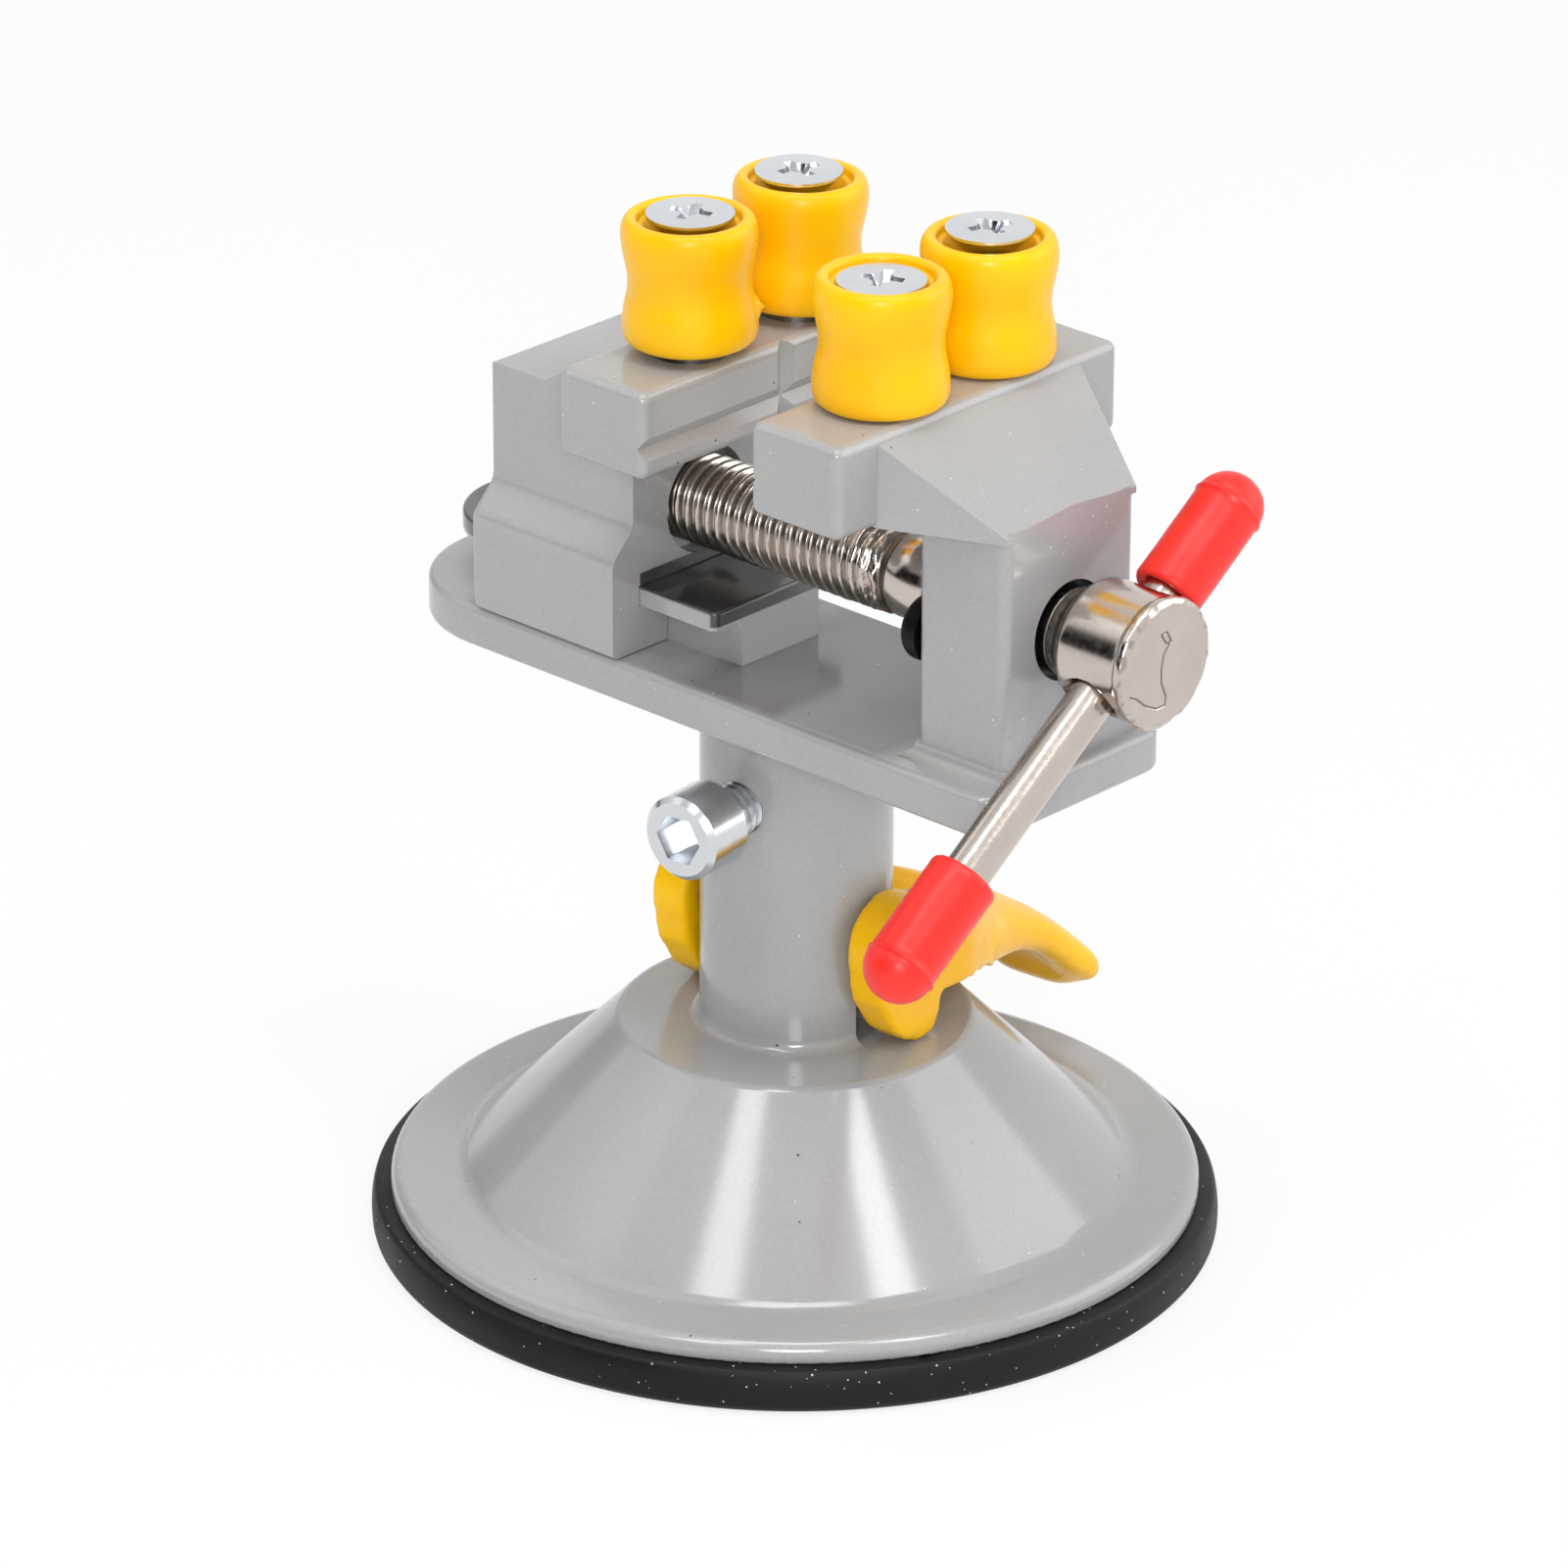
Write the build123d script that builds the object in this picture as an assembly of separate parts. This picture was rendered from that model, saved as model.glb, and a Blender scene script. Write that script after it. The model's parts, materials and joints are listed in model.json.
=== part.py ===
from build123d import *
import os
from math import atan2, cos, radians, sin, tan

# Suction base vise, in millimetres. Z is the post's axis, +X runs along the lead
# screw towards its T-handle, and the table is at z = 0. The base's own frame is
# turned a little from the head's: lever_turn says by how much.

os.makedirs("parts", exist_ok=True)

# ---- clearances
turn_gap = 0.05            # on the radius, round pieces that turn or slide in a bore
thread_gap = 0.05          # on the radius, round screwed threads
face_gap = 0.05            # between flat faces that turn on each other
slide_gap = 0.15           # between the moving jaw and its rail

# ---- suction cup
cup_radius = 47.0
cup_rim_height = 5.0
cup_edge_round = 0.7
cup_seal_width = 8.0       # band of the rim that touches the table
cup_skin = 2.0             # membrane thickness
cup_free_rise = 3.5        # top of the membrane over its rim, before it is pulled up
cup_boss_radius = 10.5
cup_boss_height = 6.5      # over the membrane
anchor_radius = 8.0
anchor_thickness = 2.0
anchor_cover = 1.5         # rubber below the anchor disc
suction_lift = 2.5         # what the lever lifts the middle of the cup by

# ---- base cover
cover_radius = 44.8
flange_thickness = 2.4
flange_round = 1.5
cone_foot_radius = 37.0
cone_foot_round = 2.5
plateau_radius = 19.5
plateau_round = 1.2
plateau_height = 25.3
cover_wall = 2.3
post_radius = 10.6
post_foot_round = 1.3

# ---- lever and its pin
lever_turn = 6.0           # degrees from the head's X axis to the lever pin's axis
lever_lift = 70.0          # degrees from locked to released
pin_radius = 2.5
pin_height = 37.1          # when locked
pin_head_inset = 1.2       # pin end below the cheek's outer face
rod_radius = 4.0
rod_over_pin = 4.0
slot_side_gap = 0.2
slot_end_gap = 0.6
cheek_inner = 11.1
cheek_thickness = 4.5
post_clear_gap = 0.5       # lever to post, at rest and when it is lifted
lever_rest_gap = 0.1       # cam land over the plateau
hub_radius = 5.9
handle_reach = 48.0        # pin axis to handle tip
handle_half_width = 8.4
handle_corner = 4.0
land_start = 0.5           # cam land's start behind where the pin's travel needs it
# side view of the arm, (v, height over the pin) as shares of handle_reach
arm_outline = [
    (0, -0.125),
    (0.115, -0.154),
    (0.281, -0.167),
    (0.385, -0.204),
    (0.542, -0.292),
    (0.688, -0.379),
    (0.854, -0.467),
    (0.958, -0.4875),
    (1.0, -0.446),
    (0.971, -0.3875),
    (0.7625, -0.269),
    (0.594, -0.173),
    (0.4375, -0.079),
    (0.25, 0.046),
    (0.067, 0.108),
]
arm_round_shares = [
    0, 0, 0.042, 0.0625, 0.104, 0.104, 0.0625, 0.0167,
    0.025, 0.042, 0.125, 0.125, 0.125, 0.104, 0.042,
]

# ---- clamp screw in the post, M6 socket head
clamp_height = 53.5
clamp_thread_radius = 3.0
clamp_thread_pitch = 1.0
clamp_thread_depth = 0.6
clamp_head_radius = 4.75
clamp_head_length = 6.0
clamp_head_face = 21.1     # head's end face from the post's axis
clamp_key_size = 5.0       # hexagon across flats
clamp_key_depth = 3.2
clamp_tip_radius = 2.2
clamp_tip_gap = 0.1

# ---- vise bed: plate, swivel spigot, rail, column and fixed jaw in one casting
plate_bottom = 62.7
plate_thickness = 4.8
plate_half_width = 14.25
plate_left_centre = -36.3  # centre of the plate's round end
plate_right = 40.7
plate_corner = 3.2
plate_edge_round = 0.8
spigot_radius = 6.0
spigot_length = 18.0
spigot_groove_depth = 1.2
spigot_groove_width = 5.4
bore_bottom_gap = 0.8
rail_web_half_width = 6.0
rail_half_width = 10.4
rail_web_height = 5.4
rail_flange_thickness = 2.1
rail_right = -2.5
rail_round = 0.4
column_left = 26.5
column_right = 38.85
column_half_width = 10.2
column_round = 1.2
column_foot_round = 1.6

# ---- jaws
jaw_half_width = 22.0
jaw_depth = 12.5           # along X, front face to back face
jaw_thickness = 10.3
jaw_round = 1.1
fixed_jaw_front = 13.4
fixed_jaw_top = 105.1
hood_half_width = 15.8     # of the fixed jaw's taper, where it leaves the jaw
hood_step = 1.0            # taper's top edge below the jaw's top
hood_end_height = 0.7      # taper's side at the column's outer face
hood_ridge = 0.9
jaw_opening = 15.3         # between the jaws as photographed
moving_jaw_top = 103.6
moving_jaw_thickness = 9.8
slide_left = -35.3         # moving jaw's back end
slide_right = -13.6
slide_half_width = 14.6
slide_shoulder = 78.9      # height of the wide lower part
slide_neck_half_width = 11.4
slide_neck_rise = 3.2
slide_curve = 2.4
slide_top = 95.7
slide_top_end = -26.6      # where the ramp up to the jaw starts
slide_round = 1.0
groove_drop = 6.3          # jaw top to the middle of the long V groove
groove_depth = 0.9
groove_half_width = 1.3

# ---- lead screw, M10, and its T-handle
screw_height = 82.3
screw_pitch = 1.5
screw_thread_radius = 5.05
screw_thread_depth = 0.8
screw_left = -41.8
screw_dome = 1.6
screw_thread_end = 12.9
screw_shank_radius = 4.8
counterbore_gap = 0.75     # round the shank, on the radius
counterbore_depth = 2.5
screw_head_radius = 7.0
screw_head_gap = 0.8       # head's inner shoulder from the column
screw_shoulder_radius = 5.0
screw_cone_length = 2.9
screw_right = 52.2
screw_head_round = 0.6
jaw_bore_relief = 6.1      # radius of the countersink in the moving jaw's front
jaw_bore_relief_depth = 2.0

# ---- retaining screw that keeps the lead screw in the column
keeper_side = -6.95
keeper_drop = 1.5          # its axis below the lead screw's
keeper_head_radius = 3.65
keeper_head_height = 2.5
keeper_shank_radius = 1.5
keeper_shank_length = 7.0
keeper_groove_gap = 0.12
keeper_slot_width = 0.9

# ---- tommy bar
bar_along_screw = 46.6
bar_radius = 2.5
bar_angle = 35.5           # its lower end below the horizontal
bar_low_end = 43.7
bar_high_end = 20.8
bar_hole_dish = 0.7
cap_radius = 3.85
cap_length = 15.8
cap_end_wall = 2.5
cap_bore_gap = 0.02
cap_flash = 0.12
cap_seat_gap = 0.5         # upper cap over the screw head

# ---- pegs and their screws
peg_setback = 6.05         # peg axis behind the jaw's front face
peg_half_spacing = 8.4
peg_radius = 7.27
peg_waist_radius = 6.45
peg_waist_height = 6.6
peg_height = 14.1
peg_rim_round = 1.5
peg_dish_radius = 5.45
peg_dish_depth = 0.9
washer_radius = 4.7
washer_thickness = 0.95
peg_screw_radius = 2.5
peg_screw_head_radius = 4.75
peg_screw_head_edge = 0.35
peg_screw_depth = 8.0      # into the jaw
cross_reach = 2.7
cross_width = 1.15
cross_depth = 1.9
cross_turn = {"left_front": 20, "left_back": 75, "right_front": 25, "right_back": 70}
head_over_dish = {"left_front": 1.25, "left_back": 1.6, "right_front": 0.4, "right_back": 1.6}

# ---- places that follow
plate_top = plate_bottom + plate_thickness
rail_flange_bottom = plate_top + rail_web_height
rail_top = rail_flange_bottom + rail_flange_thickness
fixed_jaw_back = fixed_jaw_front + jaw_depth
fixed_jaw_bottom = fixed_jaw_top - jaw_thickness
moving_jaw_front = fixed_jaw_front - jaw_opening
moving_jaw_back = moving_jaw_front - jaw_depth
moving_jaw_bottom = moving_jaw_top - moving_jaw_thickness
flange_top = cup_rim_height + flange_thickness
post_top = plate_bottom - face_gap
spigot_bottom = plate_bottom - spigot_length
spigot_bore_radius = spigot_radius + turn_gap
spigot_bore_bottom = spigot_bottom - bore_bottom_gap
membrane_top = cup_rim_height + cup_free_rise + suction_lift
anchor_bottom = membrane_top - cup_skin + anchor_cover
counterbore_radius = screw_shank_radius + counterbore_gap
counterbore_floor = column_right - counterbore_depth
keeper_head_end = column_left - keeper_head_height
keeper_reach = (keeper_side**2 + keeper_drop**2) ** 0.5
screw_groove_radius = keeper_reach - keeper_head_radius - keeper_groove_gap
screw_head_start = column_right + screw_head_gap
cam_rise = suction_lift / radians(lever_lift)
fixed_peg_x = fixed_jaw_front + peg_setback
moving_peg_x = moving_jaw_front - peg_setback

upright = (Align.CENTER, Align.CENTER, Align.MIN)
from_corner = (Align.MIN, Align.MIN, Align.MIN)


# ---- shapes used throughout
def disc(radius, low, high):
    """An upright cylinder between two heights."""
    return Pos(0, 0, low) * Cylinder(radius, high - low, align=upright)


def block(low, high):
    """A box from its lowest corner to its highest."""
    sizes = [top - bottom for bottom, top in zip(low, high)]
    return Pos(*low) * Box(*sizes, align=from_corner)


def turned(outline, rounds=0.0):
    """A solid turned about Z from a closed outline of (radius, height) corners."""
    points = [(radius, 0, height) for radius, height in outline]
    if rounds:
        edge = FilletPolyline(points, radius=rounds, close=True)
    else:
        edge = Polyline(points, close=True)
    return revolve(make_face(edge), Axis.Z)


def along_screw(solid):
    """Lay a solid made about Z along the lead screw: its Z becomes X."""
    return Plane(origin=(0, 0, screw_height), x_dir=(0, 1, 0), z_dir=(1, 0, 0)) * solid


def prism(outline, plane, low, high, rounds=0.0):
    """Push a closed outline on a plane from one distance along its normal to another."""
    if rounds:
        edge = FilletPolyline([(*point, 0) for point in outline], radius=rounds, close=True)
    else:
        edge = Polyline([(*point, 0) for point in outline], close=True)
    return plane.offset(low) * extrude(make_face(edge), high - low)


def thread(radius, depth, pitch, length):
    """A helical ridge about Z, its roots sunk a little into the core."""
    sunk = 0.05
    base = pitch * 0.44
    crest = pitch * 0.07
    core = radius - depth
    path = Helix(pitch, length, core)
    corners = [(-sunk, -base), (depth, -crest), (depth, crest), (-sunk, base)]
    section_plane = Plane(origin=path @ 0, x_dir=(1, 0, 0), z_dir=path % 0)
    section = section_plane * make_face(Polyline([(*corner, 0) for corner in corners], close=True))
    return sweep(section, path=path, is_frenet=True)


def in_base(solid):
    """Turn a piece of the base from the lever's frame into the head's."""
    return Rot(0, 0, lever_turn) * solid


# ---- base
def suction_cup():
    seal_inner = cup_radius - cup_seal_width
    roof_drop = cup_skin + 0.4
    cup = turned(
        [
            (0, membrane_top - cup_skin),
            (cup_boss_radius, membrane_top - cup_skin),
            (seal_inner - 4.0, cup_rim_height - roof_drop),
            (seal_inner, 0),
            (cup_radius, 0),
            (cup_radius, cup_rim_height),
            (seal_inner - 5.0, cup_rim_height),
            (cup_boss_radius, membrane_top),
            (cup_boss_radius - 0.8, membrane_top + cup_boss_height),
            (0, membrane_top + cup_boss_height),
        ]
    )
    rim_edges = cup.edges().filter_by(GeomType.CIRCLE).filter_by(lambda e: abs(e.radius - cup_radius) < 0.01)
    cup = fillet(rim_edges.sort_by(Axis.Z)[-1], cup_edge_round)
    cup -= disc(anchor_radius + turn_gap, anchor_bottom - face_gap, anchor_bottom + anchor_thickness + face_gap)
    cup -= disc(rod_radius + turn_gap, anchor_bottom, membrane_top + cup_boss_height + 1)
    return cup


def base_cover():
    shell = turned(
        [
            (0, cup_rim_height),
            (cover_radius, cup_rim_height),
            (cover_radius, flange_top),
            (cone_foot_radius, flange_top),
            (plateau_radius, plateau_height),
            (0, plateau_height),
        ],
        rounds=[0, 0.3, flange_round, cone_foot_round, plateau_round, 0],
    )
    slope = atan2(plateau_height - flange_top, cone_foot_radius - plateau_radius)
    wall_across = cover_wall / sin(slope)
    hollow = turned(
        [
            (0, cup_rim_height - 1),
            (cone_foot_radius - wall_across + flange_thickness / tan(slope), cup_rim_height - 1),
            (cone_foot_radius - wall_across + flange_thickness / tan(slope), cup_rim_height),
            (plateau_radius - wall_across + cover_wall / tan(slope), plateau_height - cover_wall),
            (0, plateau_height - cover_wall),
        ]
    )
    cover = shell - hollow
    post = disc(post_radius, plateau_height - 1, post_top)
    cover += post
    foot = cover.edges().filter_by(GeomType.CIRCLE).filter_by(
        lambda e: abs(e.radius - post_radius) < 0.01 and abs(e.center().Z - plateau_height) < 0.01
    )
    cover = fillet(foot, post_foot_round)
    cover -= disc(rod_radius + turn_gap, 0, spigot_bore_bottom + 1)
    cover -= disc(spigot_bore_radius, spigot_bore_bottom, post_top + 1)
    slot_half = pin_radius + slot_side_gap
    slot_top = pin_height + pin_radius + slot_end_gap
    cover -= block((-post_radius - 2, -slot_half, plateau_height), (post_radius + 2, slot_half, slot_top))
    cover -= clamp_frame() * disc(clamp_thread_radius + thread_gap, 0, post_radius + 2)
    return in_base(cover)


def pull_rod():
    rod_top = pin_height + rod_over_pin
    rod = disc(rod_radius, anchor_bottom + anchor_thickness / 2, rod_top)
    rod += disc(anchor_radius, anchor_bottom, anchor_bottom + anchor_thickness)
    rod = chamfer(rod.edges().filter_by(GeomType.CIRCLE).sort_by(Axis.Z)[-1], 0.5)
    rod -= across_lever(pin_radius + turn_gap, rod_radius + 1)
    return in_base(rod)


def across_lever(radius, half_length):
    """A cylinder on the lever pin's axis."""
    axis_plane = Plane(origin=(-half_length, 0, pin_height), z_dir=(1, 0, 0))
    return axis_plane * Cylinder(radius, 2 * half_length, align=upright)


def lever_pin():
    half_length = cheek_inner + cheek_thickness - pin_head_inset
    pin = across_lever(pin_radius, half_length)
    pin = chamfer(pin.edges().filter_by(GeomType.CIRCLE), 0.3)
    return in_base(pin)


def cam_lever():
    """Fork of two cam cheeks round the post, joined behind it by a paddle handle.

    The outlines are on (v, height over the pin), v running towards the handle.
    The cam's land starts far enough behind the pin to fall away as the lever lifts.
    """
    land = lever_rest_gap + plateau_height - pin_height
    cheek_outer = cheek_inner + cheek_thickness
    hub = hub_radius
    foot = [
        (-0.34 * hub, land + 0.15 * hub),
        (cam_rise + land_start, land),
        (0.75 * hub, land),
        (0.98 * hub, land + 0.41 * hub),
        (1.05 * hub, -1.02 * hub),
        (1.05 * hub, 0),
        (-hub, 0),
        (-0.85 * hub, -0.88 * hub),
    ]
    foot_rounds = [share * hub for share in (0.135, 0, 0.085, 0.085, 0, 0, 0, 0.25)]
    arm = [(v * handle_reach, height * handle_reach) for v, height in arm_outline]
    arm_rounds = [share * handle_reach for share in arm_round_shares]
    body = prism(arm, lever_side(), -cheek_outer, cheek_outer, arm_rounds)
    body += prism(foot, lever_side(), -cheek_outer, cheek_outer, foot_rounds)
    body += across_lever(hub_radius, cheek_outer)
    body &= lever_plan()
    body -= fork_opening()
    body -= across_lever(pin_radius + turn_gap, cheek_outer + 1)
    return in_base(body)


def lever_side():
    """Side view of the lever: its X is v and its Y the height over the pin."""
    return Plane(origin=(0, 0, pin_height), x_dir=(0, 1, 0), z_dir=(1, 0, 0))


def fork_opening():
    """The space between the cheeks that the post needs as the lever lifts."""
    clear = post_radius + post_clear_gap
    lift = radians(lever_lift)
    far = 2 * handle_reach
    low = plateau_height - pin_height - hub_radius

    def lifted_post(v):
        return (v * cos(lift) - clear) / sin(lift)

    outline = [(-far, low), (clear, low), (clear, lifted_post(clear)), (far, lifted_post(far)), (-far, far)]
    return prism(outline, lever_side(), -cheek_inner, cheek_inner)


def lever_plan():
    """The lever's outline from above, pushed up through its whole height."""
    cheek_outer = cheek_inner + cheek_thickness
    half = [
        (cheek_outer, -1.2 * hub_radius),
        (cheek_outer, 0.25 * handle_reach),
        (1.14 * handle_half_width, 0.54 * handle_reach),
        (handle_half_width, 0.75 * handle_reach),
        (handle_half_width, handle_reach),
    ]
    mirrored = [(-u, v) for u, v in reversed(half)]
    side_round = 0.1875 * handle_reach
    rounds = [0, side_round, side_round, side_round, handle_corner]
    return prism(half + mirrored, Plane.XY, 0, plate_bottom, rounds + rounds[::-1])


def clamp_frame():
    """The clamp screw's own axis as Z: out of the post, opposite the lever's handle."""
    return Plane(origin=(0, 0, clamp_height), x_dir=(1, 0, 0), z_dir=(0, -1, 0))


def clamp_screw():
    tip_seat = spigot_radius - spigot_groove_depth + clamp_tip_gap
    head_start = clamp_head_face - clamp_head_length
    core_radius = clamp_thread_radius - clamp_thread_depth
    screw = disc(core_radius, tip_seat + 1, head_start + 1)
    screw += disc(clamp_tip_radius, tip_seat, tip_seat + 1.2)
    head = disc(clamp_head_radius, head_start, clamp_head_face)
    head = chamfer(head.edges().filter_by(GeomType.CIRCLE).sort_by(Axis.Z)[-1], 0.6)
    key = RegularPolygon(clamp_key_size / 2, 6, major_radius=False)
    head -= Pos(0, 0, clamp_head_face - clamp_key_depth) * extrude(key, clamp_key_depth + 1)
    screw += head
    ridge_length = head_start - tip_seat - 1.6
    ridge = thread(clamp_thread_radius, clamp_thread_depth, clamp_thread_pitch, ridge_length)
    screw += Pos(0, 0, tip_seat + 1.2) * ridge
    return in_base(clamp_frame() * screw)


# ---- head
def vise_bed():
    bed = bed_plate() + rail()
    bed += column()
    bed += fixed_jaw()
    bed += spigot()
    bed -= along_screw(disc(screw_shank_radius + turn_gap, fixed_jaw_front, column_right + 1))
    bed -= along_screw(disc(counterbore_radius, counterbore_floor, column_right + 1))
    bed -= keeper_frame() * disc(keeper_shank_radius + thread_gap, -1, keeper_shank_length + 0.5)
    for side in (-1, 1):
        hole = disc(peg_screw_radius + thread_gap, fixed_jaw_top - peg_screw_depth - 0.5, fixed_jaw_top + 1)
        bed -= Pos(fixed_peg_x, side * peg_half_spacing, 0) * hole
    return bed


def bed_plate():
    plate = block((plate_left_centre, -plate_half_width, plate_bottom), (plate_right, plate_half_width, plate_top))
    corners = plate.edges().filter_by(Axis.Z).group_by(Axis.X)[-1]
    plate = fillet(corners, plate_corner)
    plate += Pos(plate_left_centre, 0, 0) * disc(plate_half_width, plate_bottom, plate_top)
    outline = plate.faces().sort_by(Axis.Z)[-1].edges() + plate.faces().sort_by(Axis.Z)[0].edges()
    return fillet(outline, plate_edge_round)


def rail():
    half_web = rail_web_half_width
    web = block((plate_left_centre, -half_web, plate_top - 1), (rail_right, half_web, rail_flange_bottom + 0.5))
    web += Pos(plate_left_centre, 0, 0) * disc(half_web, plate_top - 1, rail_flange_bottom + 0.5)
    half = rail_half_width
    flange = block((plate_left_centre, -half, rail_flange_bottom), (rail_right, half, rail_top))
    flange += Pos(plate_left_centre, 0, 0) * disc(half, rail_flange_bottom, rail_top)
    flange = fillet(flange.edges().filter_by(Axis.Z).group_by(Axis.X)[-1], 1.0)
    flange = fillet(flange.faces().sort_by(Axis.Z)[-1].edges(), rail_round)
    return web + flange


def column():
    half = column_half_width
    post = block((column_left, -half, plate_top - 1), (column_right, half, fixed_jaw_bottom + 1))
    post = fillet(post.edges().filter_by(Axis.Z), column_round)
    flare = block(
        (column_left - column_foot_round, -half - column_foot_round, plate_top - 1),
        (column_right, half + column_foot_round, plate_top + column_foot_round),
    )
    past = 2 * half            # how far the coves' cutters run past the column
    cutter = Cylinder(column_foot_round, 4 * past, align=upright)
    for side in (-1, 1):
        cove = Pos(column_left - past, side * (half + column_foot_round), plate_top + column_foot_round)
        flare -= cove * Rot(0, 90, 0) * cutter
    cove = Pos(column_left - column_foot_round, -half - past, plate_top + column_foot_round)
    flare -= cove * Rot(-90, 0, 0) * cutter
    return post + flare


def fixed_jaw():
    low = (fixed_jaw_front, -jaw_half_width, fixed_jaw_bottom)
    high = (fixed_jaw_back, jaw_half_width, fixed_jaw_top)
    jaw = jaw_block(low, high)
    jaw -= jaw_grooves(fixed_jaw_front, fixed_jaw_top, fixed_jaw_bottom)
    wide = hood_section(hood_half_width, fixed_jaw_top - hood_step, fixed_jaw_top - hood_step)
    narrow_top = fixed_jaw_bottom + hood_end_height
    narrow = hood_section(column_half_width, narrow_top, narrow_top + hood_ridge)
    start = Plane.YZ.offset(fixed_jaw_back - 1) * wide
    knee = Plane.YZ.offset(fixed_jaw_back) * wide
    end = Plane.YZ.offset(column_right) * narrow
    hood = loft([knee, end], ruled=True) + extrude(start, 1)
    return jaw + hood


def hood_section(half_width, shoulder, ridge):
    """The taper behind the jaw, on (Y, Z): flat below, with a ridge along its middle."""
    corners = [
        (-half_width, fixed_jaw_bottom),
        (half_width, fixed_jaw_bottom),
        (half_width, shoulder),
        (0, ridge + 0.01),
        (-half_width, shoulder),
    ]
    return make_face(Polyline([(*corner, 0) for corner in corners], close=True))


def jaw_block(low, high):
    return fillet(block(low, high).edges(), jaw_round)


def jaw_grooves(front, top, bottom):
    """V grooves across and down the front of a jaw, for holding round work."""
    facing = 1 if front > 0 else -1
    half = groove_half_width
    middle = top - groove_drop
    outline = [(0, half), (facing * groove_depth, 0), (0, -half), (-facing, -half), (-facing, half)]
    across = Plane(origin=(front, 0, middle), x_dir=(1, 0, 0), z_dir=(0, -1, 0))
    down = Plane(origin=(front, 0, 0), x_dir=(1, 0, 0), z_dir=(0, 0, 1))
    length = jaw_half_width + 2
    return prism(outline, across, -length, length) + prism(outline, down, bottom - 2, top + 2)


def spigot():
    stem = disc(spigot_radius, spigot_bottom, plate_bottom + 1)
    stem = chamfer(stem.edges().filter_by(GeomType.CIRCLE).sort_by(Axis.Z)[0], 0.6)
    half = spigot_groove_width / 2
    groove = disc(spigot_radius + 1, clamp_height - half, clamp_height + half)
    groove -= disc(spigot_radius - spigot_groove_depth, clamp_height - half, clamp_height + half)
    return stem - groove


def moving_jaw():
    low = (moving_jaw_back, -jaw_half_width, moving_jaw_bottom)
    high = (moving_jaw_front, jaw_half_width, moving_jaw_top)
    jaw = jaw_block(low, high)
    jaw -= jaw_grooves(moving_jaw_front, moving_jaw_top, moving_jaw_bottom)
    jaw += slide_body()
    jaw -= rail_slot()
    jaw -= along_screw(disc(screw_thread_radius + thread_gap, slide_left - 1, moving_jaw_front + 1))
    relief = slide_right - jaw_bore_relief_depth
    jaw -= along_screw(disc(jaw_bore_relief, relief, moving_jaw_front + 1))
    for side in (-1, 1):
        hole = disc(peg_screw_radius + thread_gap, moving_jaw_top - peg_screw_depth - 0.5, moving_jaw_top + 1)
        jaw -= Pos(moving_peg_x, side * peg_half_spacing, 0) * hole
    return jaw


def slide_body():
    """The sliding part: wide below, necked in above, with a ramp up to the jaw."""
    low = plate_top + slide_gap
    wide = slide_half_width
    neck = slide_neck_half_width
    high = moving_jaw_top
    outline = [
        (-wide, low),
        (wide, low),
        (wide, slide_shoulder),
        (neck, slide_shoulder + slide_neck_rise),
        (neck, high),
        (-neck, high),
        (-neck, slide_shoulder + slide_neck_rise),
        (-wide, slide_shoulder),
    ]
    curve = slide_curve
    rounds = [0.8, 0.8, curve, curve, 0, 0, curve, curve]
    body = prism(outline, Plane.YZ, slide_left, slide_right, rounds)
    ramp = [
        (slide_left - 2, 0),
        (slide_right + 2, 0),
        (slide_right + 2, high - 0.1),
        (slide_right, high - 0.1),
        (slide_top_end, slide_top),
        (slide_left, slide_top),
        (slide_left - 2, slide_top),
    ]
    side_view = Plane(origin=(0, 0, 0), x_dir=(1, 0, 0), z_dir=(0, -1, 0))
    body &= prism(ramp, side_view, -wide - 5, wide + 5)
    ends = body.faces().filter_by(Axis.X)
    outer_end = ends.sort_by(Axis.X)[0]
    return fillet(outer_end.edges(), slide_round)


def rail_slot():
    """The T slot that rides on the bed's rail."""
    gap = slide_gap
    left = slide_left - 1
    right = slide_right + 1
    web = rail_web_half_width + gap
    flange = rail_half_width + gap
    slot = block((left, -web, 0), (right, web, rail_flange_bottom))
    slot += block((left, -flange, rail_flange_bottom - gap), (right, flange, rail_top + gap))
    return slot


def lead_screw():
    core = screw_thread_radius - screw_thread_depth
    groove_start = keeper_head_end - keeper_groove_gap
    groove_end = column_left + keeper_groove_gap
    profile = [
        (0, screw_left),
        (core - 1.2, screw_left),
        (core, screw_left + screw_dome),
        (core, screw_thread_end),
        (screw_shank_radius, screw_thread_end),
        (screw_shank_radius, groove_start),
        (screw_groove_radius, groove_start),
        (screw_groove_radius, groove_end),
        (screw_shank_radius, groove_end),
        (screw_shank_radius, screw_head_start),
        (screw_shoulder_radius, screw_head_start),
        (screw_head_radius, screw_head_start + screw_cone_length),
        (screw_head_radius, screw_right),
        (0, screw_right),
    ]
    rounds = [0, 1.0, 0.8, 0, 0, 0, 0, 0, 0, 0, 0.1, 0.8, screw_head_round, 0]
    body = turned(profile, rounds)
    ridge_length = screw_thread_end - screw_left - screw_dome - screw_pitch
    ridge = thread(screw_thread_radius, screw_thread_depth, screw_pitch, ridge_length)
    body += Pos(0, 0, screw_left + screw_dome + screw_pitch / 2) * ridge
    screw = along_screw(body)
    screw -= bar_frame() * disc(bar_radius + turn_gap, -screw_head_radius - 1, screw_head_radius + 1)
    for mouth in (-screw_head_radius, screw_head_radius):
        screw -= bar_frame() * Pos(0, 0, mouth) * Sphere(bar_radius + bar_hole_dish)
    return screw


def keeper_frame():
    """The retaining screw's axis as Z, into the column from its jaw side."""
    return Plane(origin=(column_left, keeper_side, screw_height - keeper_drop), x_dir=(0, 1, 0), z_dir=(1, 0, 0))


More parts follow.
